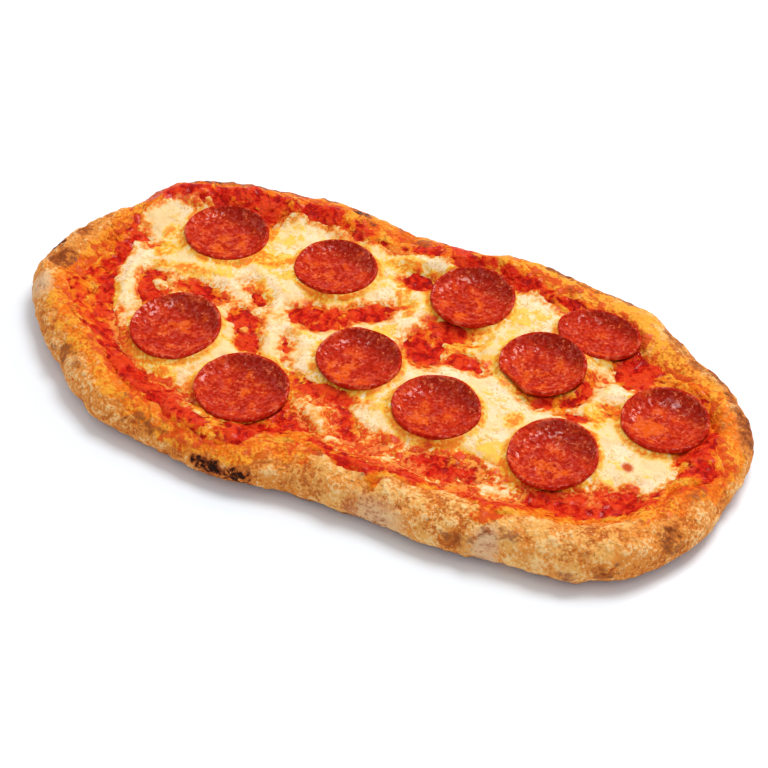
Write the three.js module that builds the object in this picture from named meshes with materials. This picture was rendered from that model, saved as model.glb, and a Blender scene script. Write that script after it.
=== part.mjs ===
// Oval pinsa with pepperoni: a flat-bottomed loaf of dough with a puffed rim, a skin of tomato sauce,
// a melted sheet of mozzarella with the sauce showing through its holes, and eleven cupped slices.
// Millimetres, +Z up. The origin is on the surface that the dough rests on, under the middle of the
// crust. +X runs along the length. Touching pieces keep a gap of 0.3 mm.
import * as THREE from 'three';

// ---- dough ----------------------------------------------------------------------------------
// The crust's widest line seen from above, anticlockwise from the +X end.
const CRUST_OUTLINE = [
  [158.5, 1], [156, 29], [138, 52.5], [112, 68], [86, 81.3], [57, 84.3], [29, 84.5], [7, 79.5], [-17, 78],
  [-35, 78], [-58, 79.5], [-89, 75.5], [-117, 67.5], [-138, 51], [-147, 29], [-157, 6], [-158, -24],
  [-139.5, -48], [-116, -65], [-92, -79], [-52, -84], [-21, -84], [-1, -78.5], [34, -76.5], [69, -75],
  [96, -71], [121, -65.5], [142, -51], [154.5, -27],
];
const WIDEST_HEIGHT = 9;        // height of that widest line over the underside
const CREST_HEIGHT = 19.5;      // top of the rim
const CREST_INSET = 12;         // from the widest line in to the crest
const RIM_FALL = 16;            // from the crest in to the level middle
const MIDDLE_HEIGHT = 11.5;      // top of the dough under the toppings
const MIDDLE_UNEVENNESS = 0.5;
const MIDDLE_SWELL_SIZE = 24;
const UNDERSIDE_INSET = 11;     // from the widest line in to the flat underside
const SPINE_HALF = 76;          // half length of the line that the rings of points close in on
const LOWER_RINGS = [           // the rounded lower edge, from the widest line in to the underside
  { inset: 1.5, height: 4.2 },
  { inset: 5, height: 1.2 },
  { inset: UNDERSIDE_INSET, height: 0 },
];
const BLISTER_SIZE = 11;        // width of the small blisters along the rim
const BLISTER_RISE = 0.9;       // how far they lift its top
const BLISTER_BULGE = 1.0;      // how far they push its side out

// Where the rim swells up or sinks: place, how far it reaches and how much it adds to the height.
const RIM_SWELLS = [
  { x: 131, y: -48, reach: 24, rise: 3.0 },
  { x: 91, y: -62, reach: 18, rise: 1.4 },
  { x: 39, y: -65, reach: 22, rise: 1.2 },
  { x: 147, y: 12, reach: 24, rise: -1.2 },
  { x: 145, y: -41, reach: 6, rise: -2.5 },
  { x: -9, y: -70, reach: 12, rise: -1.6 },
  { x: -56, y: -74, reach: 30, rise: -2.8 },
  { x: -113, y: -56, reach: 20, rise: 1.0 },
  { x: -149, y: -18, reach: 16, rise: 1.4 },
  { x: -145, y: 18, reach: 14, rise: 1.8 },
  { x: -140, y: 36, reach: 9, rise: -2.0 },
  { x: -123, y: 54, reach: 12, rise: 1.6 },
  { x: -51, y: 72, reach: 16, rise: 1.4 },
  { x: -21, y: 70, reach: 12, rise: -1.8 },
  { x: 25, y: 76, reach: 14, rise: 1.6 },
  { x: 76, y: 72, reach: 18, rise: -2.2 },
  { x: 109, y: 58, reach: 20, rise: -1.0 },
];

// ---- sauce ----------------------------------------------------------------------------------
// How far out the sauce was spread, anticlockwise from the +X end.
const SAUCE_OUTLINE = [
  [152, 4], [140, 24], [125, 42], [103, 49], [83, 66], [59, 70], [29, 72], [1, 73], [-31, 66], [-59, 68],
  [-85, 68], [-111, 60], [-133, 50], [-139, 36], [-135, 16], [-137, -8], [-138, -27], [-119, -44],
  [-93, -60], [-61, -73], [-31, -77], [-15, -64], [13, -66], [41, -66], [65, -56], [85, -59],
  [109, -49], [133, -30], [141, -12],
];
const SAUCE_THICKNESS = 1.6;
const SAUCE_EDGE = 0.7;         // thickness where it ends
const SAUCE_SOFTNESS = 8;       // width over which it thickens from its edge
const PULP_SIZE = 13;           // width of the soft lumps of pulp
const PULP_HEIGHT = 0.8;

// ---- mozzarella -----------------------------------------------------------------------------
// How far out the melted cheese ran, anticlockwise from the +X end.
const CHEESE_OUTLINE = [
  [137, -6], [130, 12], [111, 32], [95, 35], [83, 48], [61, 60], [37, 64], [17, 60], [-5, 64], [-27, 59],
  [-59, 55], [-75, 56], [-87, 42], [-113, 50], [-123, 44], [-132, 29], [-127, 6], [-119, -22],
  [-99, -46], [-73, -58], [-43, -67], [-27, -60], [-22, -36], [-13, -48], [7, -56], [37, -60],
  [59, -54], [83, -48], [95, -34], [113, -31], [133, -17],
];
const CHEESE_THICKNESS = 2.4;
const CHEESE_EDGE = 0.8;        // thickness at the edge of the sheet and of its holes
const CHEESE_SOFTNESS = 7;      // width over which it thickens from an edge
const CHEESE_MARGIN = 4;        // it stays this far inside the edge of the sauce
const CURD_SIZE = 22;           // width of the soft swells left by the melted shreds
const CURD_HEIGHT = 0.9;

// Holes in the cheese: place, half length, half width and the turn of the length in degrees.
const SAUCE_WINDOWS = [
  { x: -62, y: -7, long: 9, wide: 5, turn: -30 },
  { x: -53, y: -18, long: 7, wide: 5, turn: -40 },
  { x: -106, y: -8, long: 11, wide: 6, turn: -60 },
  { x: -87, y: 0, long: 12, wide: 5, turn: 0 },
  { x: -35, y: 9, long: 13, wide: 7, turn: 20 },
  { x: -17, y: 22, long: 10, wide: 5, turn: 35 },
  { x: 13, y: 15, long: 11, wide: 8, turn: -60 },
  { x: 17, y: 28, long: 9, wide: 5, turn: 0 },
  { x: 31, y: 15, long: 9, wide: 4, turn: 0 },
  { x: -8, y: 50, long: 8, wide: 4, turn: 10 },
  { x: 82, y: 21, long: 10, wide: 5, turn: 70 },
  { x: 72, y: 10, long: 8, wide: 4, turn: 0 },
  { x: -11, y: -29, long: 14, wide: 5, turn: 0 },
  { x: 7, y: -42, long: 12, wide: 4, turn: -55 },
  { x: 53, y: -43, long: 14, wide: 6, turn: 10 },
  { x: -69, y: -62, long: 10, wide: 4, turn: -10 },
  { x: 121, y: -27, long: 9, wide: 6, turn: 40 },
];
// Thick lumps of cheese under the skin: place, reach and rise.
const CHEESE_LUMPS = [
  { x: -5, y: -42, reach: 7, rise: 4.0 },
  { x: 23, y: -48, reach: 8, rise: 1.8 },
  { x: 67, y: -48, reach: 8, rise: 1.6 },
  { x: 95, y: -4, reach: 12, rise: 0.8 },
];

// ---- pepperoni ------------------------------------------------------------------------------
const SLICE_THICKNESS = 2.4;
const SLICE_FLAT = 0.74;        // share of the radius that lies flat before the edge turns up
const SLICE_LIFT = 2.0;         // how much the edge turns up
const TIP_HINGE = 0.8;          // a tipped slice turns about this share of its radius
const SLICE_LEAN = 0.35;        // share of the ground's slope that a slice takes up
const SLICE_SINK = 0.9;         // how far a slice has sunk into the melted cheese
const SLICE_HOLLOW = 0.2;       // how much thinner it is in the middle
// From the flat underside round the upturned edge to the hollow top: share of the radius and height.
const SLICE_PROFILE = [
  [SLICE_FLAT, 0],
  [0.93, 0.42 * SLICE_LIFT],
  [1, SLICE_LIFT],
  [0.985, SLICE_LIFT + 0.75 * SLICE_THICKNESS],
  [0.9, 0.72 * SLICE_LIFT + SLICE_THICKNESS],
  [0.55, SLICE_THICKNESS],
];
const EDGE_WAVE = 0.02;         // how uneven its outline is, as a share of the radius
const CURL_WAVE = 0.25;         // how unevenly its edge turns up
const WAVE_SIZE = 5;            // length of those waves, on a circle of the next radius
const WAVE_CIRCLE = 8;
const SLICE_SIDES = 20;
const PRESS_REACH = 10;         // how far past a slice the toppings are pressed down
const PRESS_SLOPE = 0.22;       // how steeply they rise again from its edge
const PRESSED_THICKNESS = 0.5;  // least thickness of a layer under a slice
// Place, radius and how oval each slice is; tip raises one edge (degrees, towards a heading).
const SLICES = [
  { x: -95.6, y: 34.6, radius: 18.8, oval: 0.95 },
  { x: -42.1, y: 37.7, radius: 18.4, oval: 0.95 },
  { x: 18.6, y: 48.8, radius: 18.1, oval: 0.98 },
  { x: 76, y: 53.2, radius: 18.3, oval: 0.75, tip: 2, heading: -80 },
  { x: 63.6, y: 25.8, radius: 18.7, oval: 0.9, tip: 7, heading: 62 },
  { x: -82.9, y: -27.1, radius: 18.5, oval: 1.08 },
  { x: -39.7, y: -45.4, radius: 20, oval: 0.97 },
  { x: -5.6, y: -7.4, radius: 18, oval: 0.99 },
  { x: 35.9, y: -17.7, radius: 18.6, oval: 0.95 },
  { x: 89.2, y: -18.8, radius: 18.1, oval: 1.07 },
  { x: 120.6, y: 20.8, radius: 17.9, oval: 1.01 },
];

// ---- meshing --------------------------------------------------------------------------------
const GAP = 0.3;
const STEPS_ROUND = 92;
const LINE_POINTS = 300;        // points along the lines that distances are measured to
const LEAST_SHARE = 0.04;       // keeps a cut edge clear of the sheet's own points
const RIM_INSETS = [0, 1.2, 4.5, 9, 14, 20, 26];
const INNER_RINGS = 6;
const SEEDS = { blisters: 3, middle: 5, bulges: 7, pulp: 11, curds: 21, edges: 60, curls: 100 };

// ---- small maths ----------------------------------------------------------------------------
const clamp = (value, low, high) => Math.min(high, Math.max(low, value));
const smooth = (t) => t * t * (3 - 2 * t);
const ramp = (low, high, value) => smooth(clamp((value - low) / (high - low), 0, 1));
const radians = THREE.MathUtils.degToRad;

/** A repeatable number from 0 to 1 for a whole-numbered place. */
function hash(column, row, seed) {
  const wave = Math.sin(column * 127.1 + row * 311.7 + seed * 74.7) * 43758.5453;
  return wave - Math.floor(wave);
}

/** Soft noise from -1 to 1 with lumps about `size` wide. */
function noise(x, y, size, seed) {
  const column = Math.floor(x / size);
  const row = Math.floor(y / size);
  const across = smooth(x / size - column);
  const up = smooth(y / size - row);
  const near = THREE.MathUtils.lerp(hash(column, row, seed), hash(column + 1, row, seed), across);
  const far = THREE.MathUtils.lerp(hash(column, row + 1, seed), hash(column + 1, row + 1, seed), across);
  return THREE.MathUtils.lerp(near, far, up) * 2 - 1;
}

/** The sum at a place of round swells, each fading with distance. */
function swell(x, y, swells) {
  let total = 0;
  for (const bump of swells) {
    const distance = Math.hypot(x - bump.x, y - bump.y) / bump.reach;
    total += bump.rise * Math.exp(-distance * distance);
  }
  return total;
}

/** A closed smooth curve through the given points, as evenly spaced places. */
function closedCurve(points, count) {
  const corners = points.map(([x, y]) => new THREE.Vector3(x, y, 0));
  const curve = new THREE.CatmullRomCurve3(corners, true, 'centripetal');
  curve.arcLengthDivisions = 1000;
  return curve.getSpacedPoints(count).slice(0, count);
}

/** Distance from a place to a closed line, positive inside it. */
function insideDistance(x, y, line) {
  let nearest = Infinity;
  let inside = false;
  for (let i = 0; i < line.length; i += 1) {
    const a = line[i];
    const b = line[(i + 1) % line.length];
    const along = clamp(((x - a.x) * (b.x - a.x) + (y - a.y) * (b.y - a.y)) / a.distanceToSquared(b), 0, 1);
    nearest = Math.min(nearest, Math.hypot(x - a.x - along * (b.x - a.x), y - a.y - along * (b.y - a.y)));
    const crosses = (a.y > y) !== (b.y > y);
    if (crosses && x < a.x + ((y - a.y) / (b.y - a.y)) * (b.x - a.x)) inside = !inside;
  }
  return inside ? nearest : -nearest;
}

// ---- surfaces -------------------------------------------------------------------------------
const crustLine = closedCurve(CRUST_OUTLINE, LINE_POINTS);
const sauceLine = closedCurve(SAUCE_OUTLINE, LINE_POINTS);
const cheeseLine = closedCurve(CHEESE_OUTLINE, LINE_POINTS);

/** Height of the dough's top at a place that lies `inset` in from the widest line. */
function doughHeight(x, y, inset) {
  const blister = BLISTER_RISE * noise(x, y, BLISTER_SIZE, SEEDS.blisters);
  const crest = CREST_HEIGHT + swell(x, y, RIM_SWELLS) + blister;
  if (inset < CREST_INSET) {
    const outward = 1 - clamp(inset / CREST_INSET, 0, 1);
    return WIDEST_HEIGHT + (crest - WIDEST_HEIGHT) * Math.sqrt(1 - outward * outward);
  }
  const middle = MIDDLE_HEIGHT + MIDDLE_UNEVENNESS * noise(x, y, MIDDLE_SWELL_SIZE, SEEDS.middle);
  return middle + (crest - middle) * (1 - ramp(CREST_INSET, CREST_INSET + RIM_FALL, inset));
}

/** Thickness of the sauce, with soft pulp, thinning towards where it ends. */
function sauceThickness(x, y, fromEdge) {
  const pulp = PULP_HEIGHT * Math.max(0, noise(x, y, PULP_SIZE, SEEDS.pulp));
  return SAUCE_EDGE + (SAUCE_THICKNESS - SAUCE_EDGE + pulp) * ramp(0, SAUCE_SOFTNESS, fromEdge);
}

/** How far a place lies inside the cheese, in mm, negative in a hole or beyond the sheet. */
function cheeseCover(x, y) {
  let cover = insideDistance(x, y, cheeseLine);
  for (const hole of SAUCE_WINDOWS) {
    const turn = radians(hole.turn);
    const along = (x - hole.x) * Math.cos(turn) + (y - hole.y) * Math.sin(turn);
    const across = (y - hole.y) * Math.cos(turn) - (x - hole.x) * Math.sin(turn);
    cover = Math.min(cover, (Math.hypot(along / hole.long, across / hole.wide) - 1) * hole.wide);
  }
  return cover;
}

/** Thickness of the cheese: soft edges, swells left by the shreds and a few thick lumps. */
function cheeseThickness(x, y, cover) {
  const body = CHEESE_THICKNESS - CHEESE_EDGE + CURD_HEIGHT * noise(x, y, CURD_SIZE, SEEDS.curds);
  return CHEESE_EDGE + (body + swell(x, y, CHEESE_LUMPS)) * ramp(0, CHEESE_SOFTNESS, cover);
}

// ---- one sheet of points that every layer shares --------------------------------------------
/** Rings of places from the widest line in to a thin loop round the spine. */
function makeSheet() {
  const outline = closedCurve(CRUST_OUTLINE, STEPS_ROUND);
  const normals = outline.map((_, i) => {
    const ahead = outline[(i + 2) % STEPS_ROUND];
    const behind = outline[(i - 2 + STEPS_ROUND) % STEPS_ROUND];
    return new THREE.Vector3(behind.y - ahead.y, ahead.x - behind.x, 0).normalize();
  });
  const inset = (i, distance) => {
    const bulge = BLISTER_BULGE * noise(outline[i].x, outline[i].y, BLISTER_SIZE, SEEDS.bulges);
    const pushed = distance - bulge * Math.max(0, 1 - distance / UNDERSIDE_INSET);
    return outline[i].clone().addScaledVector(normals[i], pushed);
  };
  const places = [];
  for (const distance of RIM_INSETS) {
    for (let i = 0; i < STEPS_ROUND; i += 1) {
      const place = inset(i, distance);
      places.push({ x: place.x, y: place.y, inset: distance });
    }
  }
  const lastInset = RIM_INSETS[RIM_INSETS.length - 1];
  for (let ring = 1; ring <= INNER_RINGS; ring += 1) {
    for (let i = 0; i < STEPS_ROUND; i += 1) {
      const spine = new THREE.Vector3(SPINE_HALF * Math.cos((2 * Math.PI * i) / STEPS_ROUND), 0, 0);
      const place = inset(i, lastInset).lerp(spine, ring / (INNER_RINGS + 1));
      places.push({ x: place.x, y: place.y, inset: insideDistance(place.x, place.y, crustLine) });
    }
  }
  const rings = RIM_INSETS.length + INNER_RINGS;
  return { places, inset, triangles: [...bandTriangles(rings), ...ladderTriangles(rings - 1)] };
}

/** Triangles between neighbouring rings, facing up where the rings run inwards. */
function bandTriangles(rings) {
  const triangles = [];
  for (let ring = 0; ring < rings - 1; ring += 1) {
    for (let i = 0; i < STEPS_ROUND; i += 1) {
      const next = (i + 1) % STEPS_ROUND;
      const [a, b] = [ring * STEPS_ROUND + i, ring * STEPS_ROUND + next];
      const [c, d] = [a + STEPS_ROUND, b + STEPS_ROUND];
      triangles.push([a, b, d], [a, d, c]);
    }
  }
  return triangles;
}

/** Triangles across a long loop, from its far side to its near side, facing up. */
function ladderTriangles(ring) {
  const start = ring * STEPS_ROUND;
  const triangles = [[start, start + 1, start + STEPS_ROUND - 1]];
  for (let i = 1; i < STEPS_ROUND / 2 - 1; i += 1) {
    const [far, near] = [start + i, start + STEPS_ROUND - i];
    triangles.push([far, far + 1, near], [far + 1, near - 1, near]);
  }
  const end = start + STEPS_ROUND / 2;
  triangles.push([end - 1, end, end + 1]);
  return triangles;
}

const sheet = makeSheet();
for (const place of sheet.places) {
  const { x, y } = place;
  place.dough = doughHeight(x, y, place.inset);
  place.sauceCover = insideDistance(x, y, sauceLine);
  place.cheeseCover = Math.min(cheeseCover(x, y), place.sauceCover - CHEESE_MARGIN);
  place.sauceBottom = place.dough + GAP;
  place.sauceTop = place.sauceBottom + sauceThickness(x, y, place.sauceCover);
  place.cheeseBottom = place.sauceTop + GAP;
  place.cheeseTop = place.cheeseBottom + cheeseThickness(x, y, place.cheeseCover);
}

// ---- solids ---------------------------------------------------------------------------------
/** A geometry from points and triangles, without the points that no triangle uses. */
function toGeometry(points, triangles) {
  const kept = new Map();
  const position = [];
  const index = triangles.flat().map((corner) => {
    if (!kept.has(corner)) {
      kept.set(corner, kept.size);
      position.push(...points[corner]);
    }
    return kept.get(corner);
  });
  const geometry = new THREE.BufferGeometry();
  geometry.setAttribute('position', new THREE.Float32BufferAttribute(position, 3));
  geometry.setIndex(index);
  geometry.computeVertexNormals();
  return geometry;
}

/** The loaf: the sheet's top, a rounded lower edge and a flat underside. */
function doughGeometry() {
  const points = sheet.places.map((place) => [place.x, place.y, place.dough]);
  const belowTop = points.length;
  for (const { inset, height } of LOWER_RINGS) {
    for (let i = 0; i < STEPS_ROUND; i += 1) {
      const place = sheet.inset(i, inset);
      points.push([place.x, place.y, height]);
    }
  }
  // The lower rings follow the widest line, which is the sheet's first ring.
  const onLower = (corner) => (corner < STEPS_ROUND ? corner : corner - STEPS_ROUND + belowTop);
  const lower = [...bandTriangles(LOWER_RINGS.length + 1), ...ladderTriangles(LOWER_RINGS.length)];
  const facingDown = lower.map(([a, b, c]) => [onLower(a), onLower(c), onLower(b)]);
  return toGeometry(points, [...sheet.triangles, ...facingDown]);
}

/** A layer lying on the sheet wherever `cover` is positive, cut clean along its zero line. */
function layerGeometry(cover, bottom, top) {
  const points = [];
  const known = new Map();
  const vertex = (name, x, y, low, high) => {
    if (!known.has(name)) {
      known.set(name, points.length);
      points.push([x, y, low], [x, y, high]);
    }
    return known.get(name);
  };
  const corner = (i) => {
    const place = sheet.places[i];
    return vertex(`${i}`, place.x, place.y, place[bottom], place[top]);
  };
  const cut = (i, j) => {
    const [a, b] = i < j ? [sheet.places[i], sheet.places[j]] : [sheet.places[j], sheet.places[i]];
    const share = clamp(a[cover] / (a[cover] - b[cover]), LEAST_SHARE, 1 - LEAST_SHARE);
    const mix = (key) => THREE.MathUtils.lerp(a[key], b[key], share);
    return vertex(`${Math.min(i, j)}-${Math.max(i, j)}`, mix('x'), mix('y'), mix(bottom), mix(top));
  };
  const faces = [];
  const walls = [];
  for (const triangle of sheet.triangles) {
    const outline = [];
    const edge = [];
    triangle.forEach((here, k) => {
      const next = triangle[(k + 1) % 3];
      const [inHere, inNext] = [sheet.places[here][cover] > 0, sheet.places[next][cover] > 0];
      if (inHere) outline.push(corner(here));
      if (inHere !== inNext) {
        outline.push(cut(here, next));
        edge.push({ point: cut(here, next), leaving: inHere });
      }
    });
    for (let k = 2; k < outline.length; k += 1) faces.push([outline[0], outline[k - 1], outline[k]]);
    if (edge.length === 2) {
      walls.push(edge[0].leaving ? [edge[0].point, edge[1].point] : [edge[1].point, edge[0].point]);
    }
  }
  const body = largestPatch(faces);
  const used = new Set(body.flat());
  const triangles = [];
  for (const [a, b, c] of body) triangles.push([a + 1, b + 1, c + 1], [a, c, b]);
  for (const [a, b] of walls.filter((wall) => used.has(wall[0]))) {
    triangles.push([a, b, b + 1], [a, b + 1, a + 1]);
  }
  return toGeometry(points, triangles);
}

/** The largest connected patch of a set of triangles. */
function largestPatch(faces) {
  const parent = new Map();
  const root = (point) => {
    let top = point;
    while (parent.has(top) && parent.get(top) !== top) top = parent.get(top);
    return top;
  };
  for (const face of faces) {
    const roots = face.map(root);
    roots.forEach((each) => parent.set(each, roots[0]));
  }
  const patches = new Map();
  for (const face of faces) {
    const name = root(face[0]);
    if (!patches.has(name)) patches.set(name, []);
    patches.get(name).push(face);
  }
  return [...patches.values()].sort((a, b) => b.length - a.length)[0];
}

/** A slice's own frame: its middle, its axis and the height of its flat underside. */
function seatSlice(slice) {
  const under = sheet.places.filter((p) => Math.hypot(p.x - slice.x, p.y - slice.y) < slice.radius);
  const surface = (p) => (p.cheeseCover > 0 ? p.cheeseTop : p.sauceTop);
  const mean = (pick) => under.reduce((sum, p) => sum + pick(p), 0) / under.length;
  const slope = (key) => {
    const spread = mean((p) => (p[key] - slice[key]) ** 2);
    return mean((p) => (p[key] - slice[key]) * (surface(p) - mean(surface))) / spread;
  };
  const tip = Math.tan(radians(slice.tip ?? 0));
  const heading = radians(slice.heading ?? 0);
  const slopeX = SLICE_LEAN * slope('x') + tip * Math.cos(heading);
  const slopeY = SLICE_LEAN * slope('y') + tip * Math.sin(heading);
  const plane = (x, y) => slopeX * (x - slice.x) + slopeY * (y - slice.y);
  const height = mean(surface) - SLICE_SINK + tip * slice.radius * TIP_HINGE;
  return { ...slice, height, slopeX, slopeY, plane: (x, y) => height + plane(x, y) };
}

/** Press the dough, the sauce and the cheese down where a slice lies on them. */
function pressUnder(seat) {
  for (const place of sheet.places) {
    const beyond = Math.hypot(place.x - seat.x, place.y - seat.y) - seat.radius;
    if (beyond > PRESS_REACH) continue;
    const limit = seat.plane(place.x, place.y) - GAP + PRESS_SLOPE * Math.max(0, beyond);
    const layer = GAP + PRESSED_THICKNESS;
    place.dough = Math.min(place.dough, limit - 2 * layer);
    place.sauceBottom = place.dough + GAP;
    place.sauceTop = clamp(place.sauceTop, place.sauceBottom + PRESSED_THICKNESS, limit - layer);
    place.cheeseBottom = place.sauceTop + GAP;
    place.cheeseTop = clamp(place.cheeseTop, place.cheeseBottom + PRESSED_THICKNESS, limit);
  }
}

/** A cupped, slightly oval slice in its own frame, its flat underside at height 0. */
function sliceGeometry(seat, number) {
  const points = [[0, 0, 0]];
  for (const [share, height] of SLICE_PROFILE) {
    for (let i = 0; i < SLICE_SIDES; i += 1) {
      const angle = (2 * Math.PI * i) / SLICE_SIDES;
      const [across, up] = [WAVE_CIRCLE * Math.cos(angle), WAVE_CIRCLE * Math.sin(angle)];
      const wave = EDGE_WAVE * noise(across, up, WAVE_SIZE, SEEDS.edges + number);
      const reach = seat.radius * share * (1 + wave);
      const curl = 1 + CURL_WAVE * noise(across, up, WAVE_SIZE, SEEDS.curls + number);
      const lift = share > SLICE_FLAT ? curl : 1;
      points.push([reach * Math.cos(angle), reach * seat.oval * Math.sin(angle), height * lift]);
    }
  }
  points.push([0, 0, SLICE_THICKNESS - SLICE_HOLLOW]);
  const triangles = [];
  const lastRing = SLICE_PROFILE.length - 1;
  const at = (ring, i) => 1 + ring * SLICE_SIDES + (i % SLICE_SIDES);
  for (let i = 0; i < SLICE_SIDES; i += 1) {
    triangles.push([0, at(0, i + 1), at(0, i)]);
    for (let ring = 0; ring < lastRing; ring += 1) {
      triangles.push([at(ring, i), at(ring, i + 1), at(ring + 1, i + 1)]);
      triangles.push([at(ring, i), at(ring + 1, i + 1), at(ring + 1, i)]);
    }
    triangles.push([at(lastRing, i), at(lastRing, i + 1), points.length - 1]);
  }
  return toGeometry(points, triangles);
}

// ---- assembly -------------------------------------------------------------------------------
const material = (color, roughness) => new THREE.MeshStandardMaterial({ color, roughness, metalness: 0 });
const crustMaterial = material(0xd98f42, 0.8);
const sauceMaterial = material(0xc23a1e, 0.4);
const cheeseMaterial = material(0xf6dfb0, 0.35);
const pepperoniMaterial = material(0x9e2f20, 0.35);

const seats = SLICES.map(seatSlice);
seats.forEach(pressUnder);

const pinsa = new THREE.Group();

/** Add one named piece to the pinsa. */
function addPiece(name, geometry, finish) {
  const piece = new THREE.Mesh(geometry, finish);
  piece.name = name;
  pinsa.add(piece);
  return piece;
}

addPiece('dough', doughGeometry(), crustMaterial);
addPiece('tomato_sauce', layerGeometry('sauceCover', 'sauceBottom', 'sauceTop'), sauceMaterial);
addPiece('mozzarella', layerGeometry('cheeseCover', 'cheeseBottom', 'cheeseTop'), cheeseMaterial);

seats.forEach((seat, i) => {
  const number = String(i + 1).padStart(2, '0');
  const slice = addPiece(`pepperoni_${number}`, sliceGeometry(seat, i), pepperoniMaterial);
  slice.position.set(seat.x, seat.y, seat.height);
  const axis = new THREE.Vector3(-seat.slopeX, -seat.slopeY, 1).normalize();
  slice.quaternion.setFromUnitVectors(new THREE.Vector3(0, 0, 1), axis);
});

export default pinsa;
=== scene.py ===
"""Looks of an oval pepperoni pinsa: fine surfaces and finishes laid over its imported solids.

Sizes and places are in millimetres, in the frame of the solids, and MM turns them into metres:
+X along the length, +Z up, the origin under the middle of the crust. The studio is in metres.
"""

import logging
import math
from dataclasses import dataclass
from enum import Enum
from typing import Optional, Union

import bpy
import numpy as np
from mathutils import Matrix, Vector


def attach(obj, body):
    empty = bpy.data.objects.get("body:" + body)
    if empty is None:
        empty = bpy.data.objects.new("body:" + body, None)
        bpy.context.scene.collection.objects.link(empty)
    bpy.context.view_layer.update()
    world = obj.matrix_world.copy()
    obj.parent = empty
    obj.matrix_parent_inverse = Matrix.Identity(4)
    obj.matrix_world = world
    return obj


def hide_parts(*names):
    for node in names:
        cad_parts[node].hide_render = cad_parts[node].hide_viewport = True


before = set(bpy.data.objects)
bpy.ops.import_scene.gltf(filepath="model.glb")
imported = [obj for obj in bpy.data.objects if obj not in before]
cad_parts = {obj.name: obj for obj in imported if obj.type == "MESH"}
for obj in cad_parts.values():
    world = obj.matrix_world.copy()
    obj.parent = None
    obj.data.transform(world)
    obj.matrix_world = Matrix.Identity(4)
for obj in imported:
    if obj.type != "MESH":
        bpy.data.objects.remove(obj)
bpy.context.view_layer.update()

LOG = logging.getLogger("pinsa")
MM = 0.001
Array = np.ndarray


# ---- small maths -------------------------------------------------------------------------------
# What scatters the noise's places, and what turns its grid off the axes.
SCATTER = (127.1, 311.7, 269.5, 74.7)
SCATTER_GAIN = 43758.5453
SKEW = np.array([[0.8, 0.6, 0], [-0.6, 0.8, 0], [0, 0, 1.0]])
# The next lumps' size and height as a share of the last, their step in seed, and the greatest sum.
OCTAVE_SHARE = 0.5
OCTAVE_SEED = 17
ROUGH_SPAN = 1.4
# A height or distance past any on the food.
FAR = 1e3


def smooth(share: Array) -> Array:
    """Ease a share from 0 to 1 with level ends."""
    return share * share * (3 - 2 * share)


def ramp(low: float, high: float, value: Array) -> Array:
    """Rise smoothly from 0 at low to 1 at high; high may be the smaller."""
    return smooth(np.clip((value - low) / (high - low), 0, 1))


def lattice(column: Array, row: Array, layer: Array, seed: float) -> Array:
    """A repeatable number from 0 to 1 for each whole-numbered place.

    Args:
        column, row, layer: the places.
        seed: which set of numbers.
    Returns:
        The numbers.
    """
    by_column, by_row, by_layer, by_seed = SCATTER
    wave = np.sin(column * by_column + row * by_row + layer * by_layer + seed * by_seed) * SCATTER_GAIN
    return wave - np.floor(wave)


def lumps(x: Array, y: Array, size: float, seed: float) -> Array:
    """Soft flat noise.

    Args:
        x, y: the places.
        size: about how wide its lumps are.
        seed: which noise.
    Returns:
        Values from -1 to 1.
    """
    column, row = np.floor(x / size), np.floor(y / size)
    across, up = smooth(x / size - column), smooth(y / size - row)
    near = lattice(column, row, 0, seed) * (1 - across) + lattice(column + 1, row, 0, seed) * across
    row = row + 1
    far = lattice(column, row, 0, seed) * (1 - across) + lattice(column + 1, row, 0, seed) * across
    return (near * (1 - up) + far * up) * 2 - 1


def grain(points: Array, size: float, seed: float) -> Array:
    """Soft noise in space.

    Args:
        points: the places, one row each.
        size: about how wide its lumps are.
        seed: which noise.
    Returns:
        Values from -1 to 1.
    """
    scaled = points / size
    cell = np.floor(scaled)
    share = smooth(scaled - cell)
    total = np.zeros(len(points))
    for dx in (0, 1):
        for dy in (0, 1):
            for dz in (0, 1):
                weight = np.ones(len(points))
                for axis, step in enumerate((dx, dy, dz)):
                    weight *= share[:, axis] if step else 1 - share[:, axis]
                total += weight * lattice(cell[:, 0] + dx, cell[:, 1] + dy, cell[:, 2] + dz, seed)
    return total * 2 - 1


def rough(points: Array, size: float, seed: float, octaves: int = 3) -> Array:
    """Noise in space with finer and fainter lumps on top of the first.

    Args:
        points: the places, one row each.
        size: about how wide the first lumps are.
        seed: which noise.
        octaves: how many sizes of lumps it has.
    Returns:
        Values from about -1 to 1.
    """
    turned_points = points @ SKEW
    total, height = np.zeros(len(points)), 1.0
    for octave in range(octaves):
        total += height * grain(turned_points, size * OCTAVE_SHARE**octave, seed + OCTAVE_SEED * octave)
        height *= OCTAVE_SHARE
    return total / ROUGH_SPAN


def turned(x: Array, y: Array, degrees: float) -> tuple[Array, Array]:
    """Distances along and across a heading, which is turned from +X towards +Y."""
    turn = math.radians(degrees)
    return x * math.cos(turn) + y * math.sin(turn), y * math.cos(turn) - x * math.sin(turn)


def flat_points(x: Array, y: Array) -> Array:
    """Places on the level plane as points in space."""
    return np.c_[x, y, np.zeros(len(x))]


@dataclass(frozen=True)
class Rise:
    """A smooth rise from 0 at low to 1 at high; high may be the smaller."""

    low: float
    high: float

    def of(self, value: Array) -> Array:
        """The share that is reached at each value."""
        return ramp(self.low, self.high, value)


@dataclass(frozen=True)
class Lumps:
    """Broad lumps over the level plane: their height, their width and their seed."""

    height: float
    size: float
    seed: float

    def at(self, x: Array, y: Array) -> Array:
        """Their rise and fall at each place."""
        return self.height * lumps(x, y, self.size, self.seed)


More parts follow.
